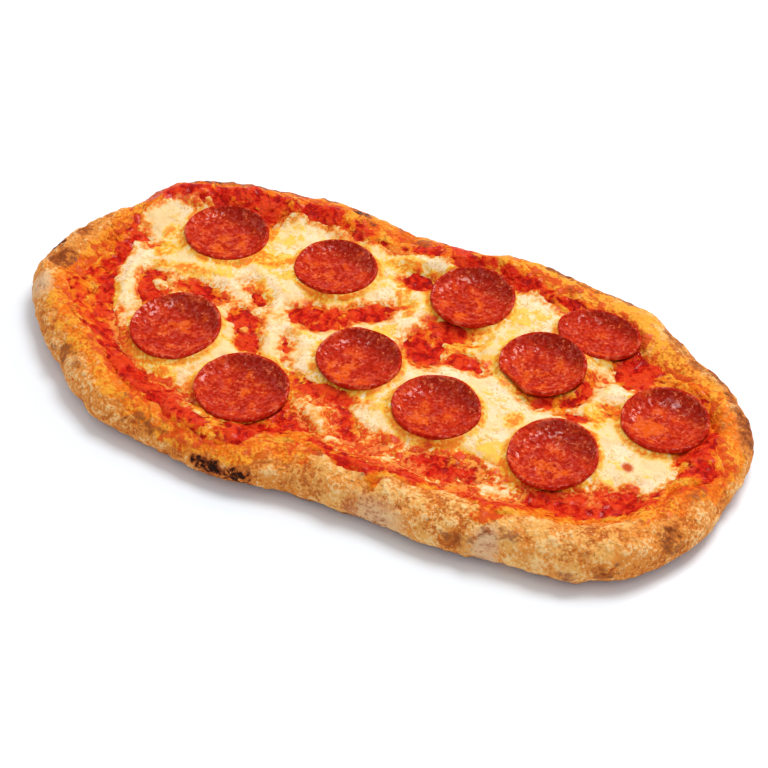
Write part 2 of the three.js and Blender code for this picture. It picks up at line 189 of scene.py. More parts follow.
@dataclass(frozen=True)
class Texture:
    """Uneven relief in space: its height, the width of its lumps, its seed and its sizes of lumps."""

    height: float
    size: float
    seed: float
    octaves: int = 3

    def at(self, points: Array) -> Array:
        """Its rise and fall at each point."""
        return self.height * rough(points, self.size, self.seed, self.octaves)


@dataclass(frozen=True)
class Swell:
    """A round swell or dent: its place, its reach and its rise."""

    x: float
    y: float
    reach: float
    rise: float

    def height(self, x: Array, y: Array) -> Array:
        """How much it adds at each place."""
        return self.rise * np.exp(-((x - self.x) ** 2 + (y - self.y) ** 2) / self.reach**2)


@dataclass(frozen=True)
class Patch:
    """An oval patch: its place, half length, half width and the turn of its length in degrees."""

    x: float
    y: float
    long: float
    wide: float
    turn: float = 0.0

    def beyond(self, x: Array, y: Array) -> Array:
        """Distance outside the patch, negative in it."""
        along, across = turned(x - self.x, y - self.y, self.turn)
        return (np.hypot(along / self.long, across / self.wide) - 1) * self.wide


@dataclass(frozen=True)
class Spot:
    """A rounded spot on the crust: its place in space, half length, half width, half height and turn."""

    x: float
    y: float
    z: float
    long: float
    wide: float
    tall: float
    turn: float = 0.0

    def near(self, points: Array) -> Array:
        """How near each point lies to the middle of the spot.

        Args:
            points: the points, one row each.
        Returns:
            1 at the middle, falling evenly to 0 at the spot's edge and below 0 beyond it.
        """
        x, y, z = (points - np.array([self.x, self.y, self.z])).T
        along, across = turned(x, y, self.turn)
        return 1 - np.sqrt((along / self.long) ** 2 + (across / self.wide) ** 2 + (z / self.tall) ** 2)


@dataclass(frozen=True)
class Marks:
    """Ragged spots of one kind: how strong they are, how unevenly their edges run, the seed, the spots."""

    share: float
    ragged: float
    seed: float
    spots: tuple[Spot, ...]

    FADE = Rise(0.0, 0.5)
    LUMP = 4

    def at(self, points: Array) -> Array:
        """The mask of the spots.

        Args:
            points: the points to look at, one row each.
        Returns:
            The mask, as strong as the share well inside a spot.
        """
        near = np.full(len(points), -1.0)
        for spot in self.spots:
            near = np.maximum(near, spot.near(points))
        return self.share * self.FADE.of(near + self.ragged * rough(points, self.LUMP, self.seed))


PATCH_INNER_BLUR = 0.3


def patched(x: Array, y: Array, patches: tuple[Patch, ...], blur: float) -> Array:
    """A mask of soft-edged patches.

    Args:
        x, y: the places to look at.
        patches: the patches.
        blur: how far the mask fades beyond them.
    Returns:
        The mask, 1 well inside any of the patches.
    """
    mask = np.zeros(len(x))
    for patch in patches:
        mask = np.maximum(mask, ramp(blur, -PATCH_INNER_BLUR * blur, patch.beyond(x, y)))
    return mask


class Outline:
    """A closed smooth curve through a few corners, and distances from it."""

    STEPS = 60
    CHUNK = 4000
    LEVEL = 1e-9

    def __init__(self, corners: tuple[tuple[float, float], ...], count: int = 300) -> None:
        """Keep the curve as evenly spaced points.

        Args:
            corners: the places that the curve runs through, anticlockwise.
            count: how many points the line has.
        """
        self.corners = np.array(corners, float)
        self.line = self.spaced(count)

    def spaced(self, count: int) -> Array:
        """Evenly spaced points on the curve.

        Args:
            count: how many points.
        Returns:
            An array of count rows of x and y.
        """
        before, here = np.roll(self.corners, 1, 0), self.corners
        ahead, after = np.roll(self.corners, -1, 0), np.roll(self.corners, -2, 0)
        steps = (here - before, ahead - here, after - ahead)
        gaps = [np.linalg.norm(step, axis=1)[:, None] ** 0.5 for step in steps]
        leave = steps[0] / gaps[0] - (ahead - before) / (gaps[0] + gaps[1]) + steps[1] / gaps[1]
        arrive = steps[1] / gaps[1] - (after - here) / (gaps[1] + gaps[2]) + steps[2] / gaps[2]
        leave, arrive = leave * gaps[1], arrive * gaps[1]
        pieces = []
        for t in np.linspace(0, 1, self.STEPS, endpoint=False):
            pieces.append(here + leave * t + (3 * (ahead - here) - 2 * leave - arrive) * t**2
                          + (2 * (here - ahead) + leave + arrive) * t**3)
        dense = np.stack(pieces, 1).reshape(-1, 2)
        dense = np.vstack([dense, dense[:1]])
        travelled = np.concatenate([[0], np.cumsum(np.linalg.norm(np.diff(dense, axis=0), axis=1))])
        wanted = np.linspace(0, travelled[-1], count, endpoint=False)
        return np.stack([np.interp(wanted, travelled, dense[:, k]) for k in (0, 1)], 1)

    def inside(self, x: Array, y: Array) -> Array:
        """Distance from each place to the line.

        Args:
            x, y: the places.
        Returns:
            The distances, positive inside the line.
        """
        start, end = self.line, np.roll(self.line, -1, 0)
        step = end - start
        square = (step**2).sum(1)
        level = np.where(step[:, 1] == 0, self.LEVEL, step[:, 1])
        result = np.empty(len(x))
        for first in range(0, len(x), self.CHUNK):
            part = slice(first, first + self.CHUNK)
            right, up = x[part, None] - start[:, 0], y[part, None] - start[:, 1]
            along = np.clip((right * step[:, 0] + up * step[:, 1]) / square, 0, 1)
            gap = np.hypot(right - along * step[:, 0], up - along * step[:, 1]).min(1)
            crosses = (start[:, 1] > y[part, None]) != (end[:, 1] > y[part, None])
            left = x[part, None] < start[:, 0] + up / level * step[:, 0]
            inside = (crosses & left).sum(1) % 2 == 1
            result[part] = np.where(inside, gap, -gap)
        return result


# ---- shader recipes ----------------------------------------------------------------------------
Colour = tuple[float, float, float, float]
Source = Union[float, tuple, "Wire", bpy.types.NodeSocket]


def tint(red: int, green: int, blue: int) -> Colour:
    """A colour given as it shows on a screen, 0 to 255, as the linear colour of a shader.

    Args:
        red, green, blue: its levels on the screen.
    Returns:
        The linear colour, opaque.
    """
    def linear(level: int) -> float:
        """One channel on the linear scale."""
        share = level / 255
        return share / 12.92 if share <= 0.04045 else ((share + 0.055) / 1.055) ** 2.4
    return linear(red), linear(green), linear(blue), 1.0


class Sum(Enum):
    """The sums that a Math node does in a recipe."""

    PLUS = "ADD"
    MINUS = "SUBTRACT"
    TIMES = "MULTIPLY"


@dataclass(frozen=True)
class Speckle:
    """Noise in a finish: the width of its lumps in millimetres, its detail and how far it is swirled."""

    size: float
    detail: float = 3.0
    swirl: float = 0.0


@dataclass(frozen=True)
class Veil:
    """A colour laid over others: the values of its mask where it starts and is full, and its share."""

    colour: Colour
    low: float
    high: float
    share: float = 1.0


class Wire:
    """A number in a shader, as one socket, that can be used in sums."""

    def __init__(self, recipe: "Recipe", socket: bpy.types.NodeSocket) -> None:
        """Keep the socket and the recipe that it belongs to."""
        self.recipe = recipe
        self.socket = socket

    def sum(self, operation: Sum, first: Source, second: Source) -> "Wire":
        """The result of one Math node on two values."""
        return self.recipe.wire("ShaderNodeMath", {"operation": operation.value}, {0: first, 1: second})

    def __add__(self, other: Source) -> "Wire":
        """This plus other."""
        return self.sum(Sum.PLUS, self, other)

    def __sub__(self, other: Source) -> "Wire":
        """This minus other."""
        return self.sum(Sum.MINUS, self, other)

    def __rsub__(self, other: Source) -> "Wire":
        """Other minus this."""
        return self.sum(Sum.MINUS, other, self)

    def __mul__(self, other: Source) -> "Wire":
        """This times other."""
        return self.sum(Sum.TIMES, self, other)

    __radd__ = __add__
    __rmul__ = __mul__

    def between(self, low: float, high: float) -> "Wire":
        """This rising smoothly from 0 at low to 1 at high."""
        settings = {"interpolation_type": "SMOOTHSTEP"}
        return self.recipe.wire("ShaderNodeMapRange", settings, {0: self, 1: low, 2: high, 3: 0.0, 4: 1.0})

    def along(self, rise: Rise) -> "Wire":
        """This put through a smooth rise."""
        return self.between(rise.low, rise.high)

    def stirred(self, *noises: tuple["Wire", float]) -> "Wire":
        """This plus noises.

        Args:
            noises: each noise and how far it pushes up and down.
        Returns:
            The stirred number.
        """
        total = self
        for noise, amount in noises:
            total = total + (noise - 0.5) * amount
        return total

    def broken(self, *noises: tuple["Wire", float], level: float = 1.0) -> "Wire":
        """This times a level and noises, which break it up only where it isn't 0.

        Args:
            noises: each noise and how far it pushes the level up and down.
            level: what this is multiplied by where the noises are at their middle.
        Returns:
            The broken-up number.
        """
        factor = level
        for noise, amount in noises:
            factor = factor + (noise - 0.5) * amount
        return self * factor


class Recipe:
    """The node tree of one finish."""

    LUMP_SHARE = 0.6

    def __init__(self, name: str) -> None:
        """Start an empty material with its output and its surface shader.

        Args:
            name: the material's name.
        """
        self.material = bpy.data.materials.new(name)
        self.material.use_nodes = True
        self.tree = self.material.node_tree
        self.tree.nodes.clear()
        output = self.node("ShaderNodeOutputMaterial", {}, {})
        self.shader = self.node("ShaderNodeBsdfPrincipled", {}, {})
        self.tree.links.new(self.shader.outputs[0], output.inputs["Surface"])
        self.places = self.node("ShaderNodeTexCoord", {}, {}).outputs["Object"]

    def feed(self, socket: bpy.types.NodeSocket, value: Source) -> None:
        """Link a socket to a wire or another socket, or set its value."""
        source = value.socket if isinstance(value, Wire) else value
        if isinstance(source, bpy.types.NodeSocket):
            self.tree.links.new(source, socket)
        else:
            socket.default_value = source

    def node(self, kind: str, settings: dict, inputs: dict) -> bpy.types.Node:
        """Add any node.

        Args:
            kind: the node's type.
            settings: its properties, set first.
            inputs: values or links for its sockets, by name or number.
        Returns:
            The node.
        """
        node = self.tree.nodes.new(kind)
        for key, value in settings.items():
            setattr(node, key, value)
        for key, value in inputs.items():
            self.feed(node.inputs[key], value)
        return node

    def wire(self, kind: str, settings: dict, inputs: dict, output: Union[int, str] = 0) -> Wire:
        """Add any node and give one of its outputs as a number."""
        return Wire(self, self.node(kind, settings, inputs).outputs[output])

    def mask(self, name: str) -> Wire:
        """A number painted on the mesh's points."""
        return self.wire("ShaderNodeAttribute", {"attribute_name": name}, {}, "Fac")

    def noise(self, speckle: Speckle) -> Wire:
        """Noise from 0 to 1."""
        inputs = {"Vector": self.places, "Scale": self.LUMP_SHARE / (speckle.size * MM),
                  "Detail": speckle.detail, "Distortion": speckle.swirl}
        return self.wire("ShaderNodeTexNoise", {"noise_dimensions": "3D"}, inputs)

    def cells(self, size: float) -> Wire:
        """Distance to the nearest of scattered points about size millimetres apart, 0 at each."""
        inputs = {"Vector": self.places, "Scale": 1 / (size * MM)}
        return self.wire("ShaderNodeTexVoronoi", {"feature": "F1"}, inputs, "Distance")

    def over(self, base: Source, top: Source, share: Source) -> bpy.types.NodeSocket:
        """Lay one colour over another.

        Args:
            base: the colour below.
            top: the colour above.
            share: how much of it covers.
        Returns:
            The colour's socket.
        """
        settings = {"data_type": "RGBA", "blend_type": "MIX", "clamp_result": True}
        return self.node("ShaderNodeMix", settings, {0: share, 6: base, 7: top}).outputs[2]

    def lay(self, base: Source, veil: Veil, mask: Wire,
            within: Optional[Wire] = None) -> bpy.types.NodeSocket:
        """Lay a veil over a colour where its mask is strong enough.

        Args:
            base: the colour below.
            veil: the colour above, and how it shows.
            mask: the veil's mask.
            within: a second mask that the veil keeps to.
        Returns:
            The colour's socket.
        """
        share = mask.between(veil.low, veil.high)
        if within is not None:
            share = within * share
        if veil.share < 1:
            share = share * veil.share
        return self.over(base, veil.colour, share)

    def relief(self, height: Wire, depth: float) -> bpy.types.NodeSocket:
        """A bumped normal from a height of 0 to 1 and its depth in millimetres."""
        return self.node("ShaderNodeBump", {}, {"Height": height, "Distance": depth * MM}).outputs[0]

    def finish(self, **sockets: Source) -> bpy.types.Material:
        """Set the surface shader's sockets, named with underscores for spaces, and give the material."""
        for key, value in sockets.items():
            self.feed(self.shader.inputs[key.replace("_", " ")], value)
        return self.material


# ---- meshes ------------------------------------------------------------------------------------
class Slot(Enum):
    """The record's material slots."""

    CRUST = "crust"
    SAUCE = "sauce"
    CHEESE = "cheese"
    PEPPERONI = "pepperoni"


class Piece:
    """One visible mesh, standing for a node of the solids."""

    def __init__(self, name: str, points: Array, faces: list) -> None:
        """Make the mesh.

        Args:
            name: the piece's name.
            points: its points, in millimetres.
            faces: lists of point numbers, one list for each face.
        """
        mesh = bpy.data.meshes.new(name)
        mesh.from_pydata((points * MM).tolist(), [], faces)
        mesh.polygons.foreach_set("use_smooth", np.ones(len(mesh.polygons), bool))
        mesh.update()
        self.mesh = mesh
        self.thing = bpy.data.objects.new(name, mesh)
        bpy.context.scene.collection.objects.link(self.thing)

    def paint(self, **masks: Array) -> None:
        """Keep numbers for the mesh's points under the given names."""
        for name, values in masks.items():
            layer = self.mesh.attributes.new(name, "FLOAT", "POINT")
            layer.data.foreach_set("value", np.asarray(values, np.float32))

    def settle(self, node: str, slot: Slot, material: bpy.types.Material) -> None:
        """Dress the piece and let it stand for a node.

        Args:
            node: the node of the solids that it replaces.
            slot: the record's material slot; not used.
            material: its finish.
        """
        self.mesh.materials.append(material)
        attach(self.thing, "root")
        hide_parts(node)
        points, faces = len(self.mesh.vertices), len(self.mesh.polygons)
        LOG.info("%s: %d points, %d faces", self.thing.name, points, faces)


def ring_faces(rings: int, around: int) -> list:
    """Quads between rings of points.

    Args:
        rings: how many rings there are, each with its points after those of the one before.
        around: how many points each ring has.
    Returns:
        The faces.
    """
    first = np.arange(rings - 1)[:, None] * around
    here = np.arange(around)[None, :]
    ahead = (here + 1) % around
    quads = np.stack([first + here, first + ahead, first + around + ahead, first + around + here], -1)
    return quads.reshape(-1, 4).tolist()


class Sheet:
    """A closed thin sheet over the cells of a square grid that lie inside its ragged edge."""

    def __init__(self, outline: Outline, margin: float, pitch: float) -> None:
        """Lay the grid.

        Args:
            outline: the line that the sheet fills.
            margin: how far the grid reaches past it.
            pitch: how far apart its places are.
        """
        low, high = outline.line.min(0) - margin, outline.line.max(0) + margin
        columns, rows = np.arange(low[0], high[0], pitch), np.arange(low[1], high[1], pitch)
        self.shape = (len(rows), len(columns))
        self.x, self.y = (axis.ravel() for axis in np.meshgrid(columns, rows))
        self.faces = []

    def cut(self, cover: Array, least: float) -> Array:
        """Keep the cells whose corners all lie inside the edge.

        Args:
            cover: how far inside the edge each place lies.
            least: how far outside it, as a negative number, the sheet still reaches.
        Returns:
            Which of the places are still used.
        """
        deep = cover.reshape(self.shape) > least
        used = self.close(deep[:-1, :-1] & deep[:-1, 1:] & deep[1:, :-1] & deep[1:, 1:])
        self.x, self.y = self.x[used], self.y[used]
        return used

    def close(self, kept: Array) -> Array:
        """Make the faces of the top, of the underside and of the walls that join them.

        Args:
            kept: for each cell of the grid, whether the sheet covers it.
        Returns:
            Which places of the grid are used. A place's point on the underside has its number in the
            top plus the count of the places used.
        """
        corner = np.arange(self.shape[0] * self.shape[1]).reshape(self.shape)
        a, b, c, d = corner[:-1, :-1], corner[:-1, 1:], corner[1:, 1:], corner[1:, :-1]
        quads = np.stack([a[kept], b[kept], c[kept], d[kept]], 1)
        number = np.full(corner.size, -1)
        used = np.unique(quads)
        number[used] = np.arange(len(used))
        top = number[quads]
        edges = np.concatenate([top[:, [k, (k + 1) % 4]] for k in range(4)])
        key = np.sort(edges, 1) @ np.array([len(used), 1])
        _, first, count = np.unique(key, return_index=True, return_counts=True)
        rim = edges[first[count == 1]]
        walls = np.stack([rim[:, 1], rim[:, 0], rim[:, 0] + len(used), rim[:, 1] + len(used)], 1)
        self.faces = np.concatenate([top, top[:, ::-1] + len(used), walls]).tolist()
        return number >= 0

    def piece(self, name: str, top: Array, underside: Array, masks: dict[str, Array]) -> Piece:
        """Make the sheet.

        Args:
            name: the piece's name.
            top, underside: their heights at the places used.
            masks: what is painted on both.
        Returns:
            The piece.
        """
        points = np.r_[np.c_[self.x, self.y, top], np.c_[self.x, self.y, underside]]
        piece = Piece(name, points, self.faces)
        piece.paint(**{mask: np.tile(values, 2) for mask, values in masks.items()})
        return piece


# ---- dough -------------------------------------------------------------------------------------
@dataclass
class Loaf:
    """The dough: its widest line, its rim and its level middle."""

    outline: Outline
    widest_height: float = 9.0
    crest_height: float = 19.5
    crest_inset: float = 12.0
    rim_fall: float = 16.0
    middle_height: float = 11.5
    middle_lumps: Lumps = Lumps(0.5, 24.0, 5)
    underside_inset: float = 11.0
    spine_half: float = 76.0
    crest_blisters: Lumps = Lumps(0.9, 11.0, 3)
    side_bulges: Lumps = Lumps(1.0, 11.0, 7)
    around: int = 880
    swells: tuple[Swell, ...] = (
        Swell(131, -48, 24, 3.0), Swell(91, -62, 18, 1.4), Swell(39, -65, 22, 1.2),
        Swell(147, 12, 24, -1.2), Swell(145, -41, 6, -2.5), Swell(-9, -70, 12, -1.6),
        Swell(-56, -74, 30, -2.8), Swell(-113, -56, 20, 1.0), Swell(-149, -18, 16, 1.4),
        Swell(-145, 18, 14, 1.8), Swell(-140, 36, 9, -2.0), Swell(-123, 54, 12, 1.6),
        Swell(-51, 72, 16, 1.4), Swell(-21, 70, 12, -1.8), Swell(25, 76, 14, 1.6),
        Swell(76, 72, 18, -2.2), Swell(109, 58, 20, -1.0), Swell(-148, -15, 7, -2.2),
        Swell(-154, -24, 5, 1.2), Swell(-146, -32, 6, 1.0),
    )

    def crest(self, x: Array, y: Array) -> Array:
        """Height of the rim's top near each place.

        Args:
            x, y: the places.
        Returns:
            The heights.
        """
        total = self.crest_height + self.crest_blisters.at(x, y)
        for swell in self.swells:
            total = total + swell.height(x, y)
        return total

    def top(self, x: Array, y: Array, inset: Array) -> Array:
        """Height of the dough's top.

        Args:
            x, y: the places.
            inset: how far in from the widest line each lies.
        Returns:
            The heights.
        """
        crest = self.crest(x, y)
        outward = 1 - np.clip(inset / self.crest_inset, 0, 1)
        shoulder = self.widest_height + (crest - self.widest_height) * np.sqrt(1 - outward**2)
        middle = self.middle_height + self.middle_lumps.at(x, y)
        fall = 1 - ramp(self.crest_inset, self.crest_inset + self.rim_fall, inset)
        return np.where(inset < self.crest_inset, shoulder, middle + (crest - middle) * fall)


@dataclass(frozen=True)
class Seat:
    """The flat plane that a slice lies on, read from its solid."""

    x: float
    y: float
    height: float
    slope_x: float
    slope_y: float
    radius: float
    oval: float

    FLAT_SHARE = 0.82
    FITS = 4
    TOLERANCE = 0.02

    def share(self, x: Array, y: Array) -> Array:
        """How far out each place lies, as a share of the slice's radius."""
        return np.hypot(x - self.x, (y - self.y) / self.oval) / self.radius

    def plane(self, x: Array, y: Array) -> Array:
        """Height of the plane at each place."""
        return self.height + self.slope_x * (x - self.x) + self.slope_y * (y - self.y)

    @classmethod
    def of(cls, node: str) -> "Seat":
        """The seat of one slice.

        Args:
            node: the slice's node.
        Returns:
            Its seat: the plane of the flat part of its underside, fitted with what lies above left out.
        """
        points = np.array([v.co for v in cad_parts[node].data.vertices]) / MM
        low, high = points.min(0), points.max(0)
        middle = (low + high) / 2
        radius = (high - low)[0] / 2
        near = points[np.hypot(*(points - middle)[:, :2].T) < cls.FLAT_SHARE * radius]
        for _ in range(cls.FITS):
            table = np.c_[np.ones(len(near)), near[:, :2] - middle[:2]]
            level, slope_x, slope_y = np.linalg.lstsq(table, near[:, 2], rcond=None)[0]
            below = near[:, 2] <= table @ np.array([level, slope_x, slope_y]) + cls.TOLERANCE
            if below.all():
                break
            near = near[below]
        oval = (high - low)[1] / (high - low)[0]
        return cls(middle[0], middle[1], level, slope_x, slope_y, radius, oval)


@dataclass
class Terrain:
    """The heights of the layers, each pressed down under the slices."""

    loaf: Loaf
    seats: tuple[Seat, ...]
    gap: float = 0.3
    layer: float = 0.5
    sunk: float = 0.15
    raised_from: float = 0.6
    edge_lift: float = 2.1
    press_reach: float = 9.0
    press_slope: float = 0.9
    fillet_reach: float = 5.0
    fillet_slope: float = 1.1
    fillet_drop: float = 1.5

    def under(self, seat: Seat, x: Array, y: Array) -> tuple[Array, Array]:
        """Where one slice holds what lies under it.

        Args:
            seat: the slice's seat.
            x, y: the places.
        Returns:
            How far each place lies beyond the slice's edge, and the height that it holds the layers to.
        """
        share = seat.share(x, y)
        lift = self.edge_lift * np.clip((share - self.raised_from) / (1 - self.raised_from), 0, 1) ** 2
        return (share - 1) * seat.radius, seat.plane(x, y) - self.sunk + lift

    def limit(self, x: Array, y: Array) -> Array:
        """The greatest height that the slices leave to what lies under them.

        Args:
            x, y: the places.
        Returns:
            The heights, very great where no slice is near.
        """
        lowest = np.full(len(x), FAR)
        for seat in self.seats:
            beyond, held = self.under(seat, x, y)
            held = held + self.press_slope * np.maximum(0, beyond)
            lowest = np.minimum(lowest, np.where(beyond < self.press_reach, held, FAR))
        return lowest

    def fillet(self, x: Array, y: Array) -> Array:
        """The least height to which the layers rise to meet the edges of the slices.

        Args:
            x, y: the places.
        Returns:
            The heights, very low where no slice's edge is near.
        """
        highest = np.full(len(x), -FAR)
        for seat in self.seats:
            beyond, held = self.under(seat, x, y)
            held = held - self.fillet_drop - self.fillet_slope * np.maximum(0, beyond)
            highest = np.maximum(highest, np.where(np.abs(beyond) < self.fillet_reach, held, -FAR))
        return highest

    def beside(self, x: Array, y: Array) -> Array:
        """How far each place lies beyond the nearest slice's edge.

        Args:
            x, y: the places.
        Returns:
            The distances, negative under a slice.
        """
        nearest = np.full(len(x), FAR)
        for seat in self.seats:
            nearest = np.minimum(nearest, (seat.share(x, y) - 1) * seat.radius)
        return nearest

    def dough(self, x: Array, y: Array, inset: Array) -> Array:
        """Height of the dough's top, pressed down to leave room for the layers under the slices."""
        return np.minimum(self.loaf.top(x, y, inset), self.limit(x, y) - 2 * (self.gap + self.layer))


FLOUR = tint(252, 214, 152)
SINGED = tint(160, 76, 30)
BROWN = tint(108, 42, 16)


@dataclass(frozen=True)
class CrustFinish:
    """Baked crust: floury beige sides, an oil-stained crest, browned blisters, scorched spots, painted
    light and shade.
    """

    beige: Colour = tint(240, 172, 90)
    golden: Veil = Veil(tint(230, 138, 54), 0.42, 0.6, 0.9)
    # painted shade: darker brown in the hollows of the relief
    hollow_shade: Veil = Veil(tint(196, 106, 42), 0.45, 1.1, 0.7)
    # pale floury colour on the ridges of the relief: partly real floury dust, partly painted light
    flour_and_ridge_light: Veil = Veil(FLOUR, 0.58, 1.1, 0.65)
    flour_grains: Veil = Veil(FLOUR, 0.42, 0.55, 0.75)
    powder: Colour = tint(234, 190, 146)
    powder_share: float = 0.85
    oil: Colour = tint(232, 108, 14)
    oil_light: Veil = Veil(tint(246, 170, 52), 0.52, 0.82, 0.85)
    oil_red: Veil = Veil(tint(212, 54, 10), 0.45, 1.1, 0.85)
    stain: Rise = Rise(0.25, 0.8)
    # painted shade: darker orange in the hollows of the oil stain
    stain_hollow_shade: Veil = Veil(tint(180, 66, 12), 0.75, 1.2, 0.45)
    blister: Veil = Veil(SINGED, 0.1, 0.6, 0.8)
    blister_top: Veil = Veil(BROWN, 0.6, 1.3, 0.7)
    specks: Veil = Veil(BROWN, 0.62, 0.69, 0.5)
    scorch_edge: Veil = Veil(SINGED, 0.02, 0.3, 0.8)
    scorch: Veil = Veil(BROWN, 0.2, 0.7, 0.85)
    char: Veil = Veil(tint(26, 14, 10), 0.6, 1.3, 0.92)
    fine_noise: Speckle = Speckle(0.8)
    pebble_noise: Speckle = Speckle(2.0, 4.0, 0.3)
    broad_noise: Speckle = Speckle(9.0, 3.0, 0.4)
    patchy_noise: Speckle = Speckle(4.5, 4.0, 0.4)
    speck_noise: Speckle = Speckle(1.3, 3.0, 0.4)
    baked_share: float = 0.2
    # how far the ridges lighten the oil: painted light
    ridge_oil_light: float = 0.3
    gilded_share: float = 0.16
    charred_level: float = 0.9
    grain_spacing: float = 1.5
    grain: Rise = Rise(0.1, 0.3)
    wet: Rise = Rise(0.52, 0.62)
    wet_share: float = 0.2
    dullness: float = 0.75
    oil_gloss: float = 0.25
    relief_depth: float = 1.9

    def dress(self) -> bpy.types.Material:
        """Make the material.

        Returns:
            The material, which reads the masks painted on its mesh.
        """
        recipe = Recipe("baked_crust")
        oily, raised = recipe.mask("oily"), recipe.mask("raised")
        fine, pebble = recipe.noise(self.fine_noise), recipe.noise(self.pebble_noise)
        broad, patchy = recipe.noise(self.broad_noise), recipe.noise(self.patchy_noise)
        # ridge and hollow follow the bumped relief: the colours laid by them are painted light and painted
        # shade
        ridge = raised.stirred((pebble, 1.4), (fine, 2.8))
        hollow = (1 - ridge).stirred((broad, 1.5))
        colour = recipe.lay(self.beige, self.golden, patchy + recipe.mask("baked") * self.baked_share)
        # painted shade: the hollows darkened
        colour = recipe.lay(colour, self.hollow_shade, hollow)
        # painted light: the ridges lightened with a pale floury colour, partly real floury dust
        colour = recipe.lay(colour, self.flour_and_ridge_light, ridge)
        colour = recipe.over(colour, self.powder, recipe.mask("floury") * self.powder_share)
        grains = 1 - recipe.cells(self.grain_spacing).along(self.grain)
        colour = recipe.lay(colour, self.flour_grains, patchy, grains)
        # painted light: the oil is lighter on the ridges
        gilded = ridge * self.ridge_oil_light + patchy + recipe.mask("gilded") * self.gilded_share
        oil = recipe.lay(self.oil, self.oil_light, gilded)
        reddened = recipe.mask("reddened").stirred((pebble, 3.0), (patchy, 2.5))
        oil = recipe.lay(oil, self.oil_red, reddened)
        stained = oily.stirred((pebble, 2.0), (patchy, 2.0))
        colour = recipe.over(colour, oil, stained.along(self.stain))
        # painted shade: the stained hollows darkened
        colour = recipe.lay(colour, self.stain_hollow_shade, hollow)
        browned = recipe.mask("toast").broken((pebble, 5.0), (fine, 4.0))
        colour = recipe.lay(colour, self.blister, browned)
        colour = recipe.lay(colour, self.blister_top, browned)
        colour = recipe.lay(colour, self.specks, recipe.noise(self.speck_noise) * 0.8 + broad * 0.2)
        burnt = recipe.mask("charred").broken((fine, 5.0), (pebble, 5.0), level=self.charred_level)
        for veil in (self.scorch_edge, self.scorch, self.char):
            colour = recipe.lay(colour, veil, burnt)
        gloss = (self.dullness - oily * self.oil_gloss).stirred((fine, 0.3))
        wet = oily * pebble.along(self.wet) * self.wet_share
        bump = recipe.relief(fine * 0.5 + pebble, self.relief_depth)
        return recipe.finish(Base_Color=colour, Roughness=gloss, Normal=bump, Specular_IOR_Level=0.07,
                             Coat_Weight=wet, Coat_Roughness=0.22)


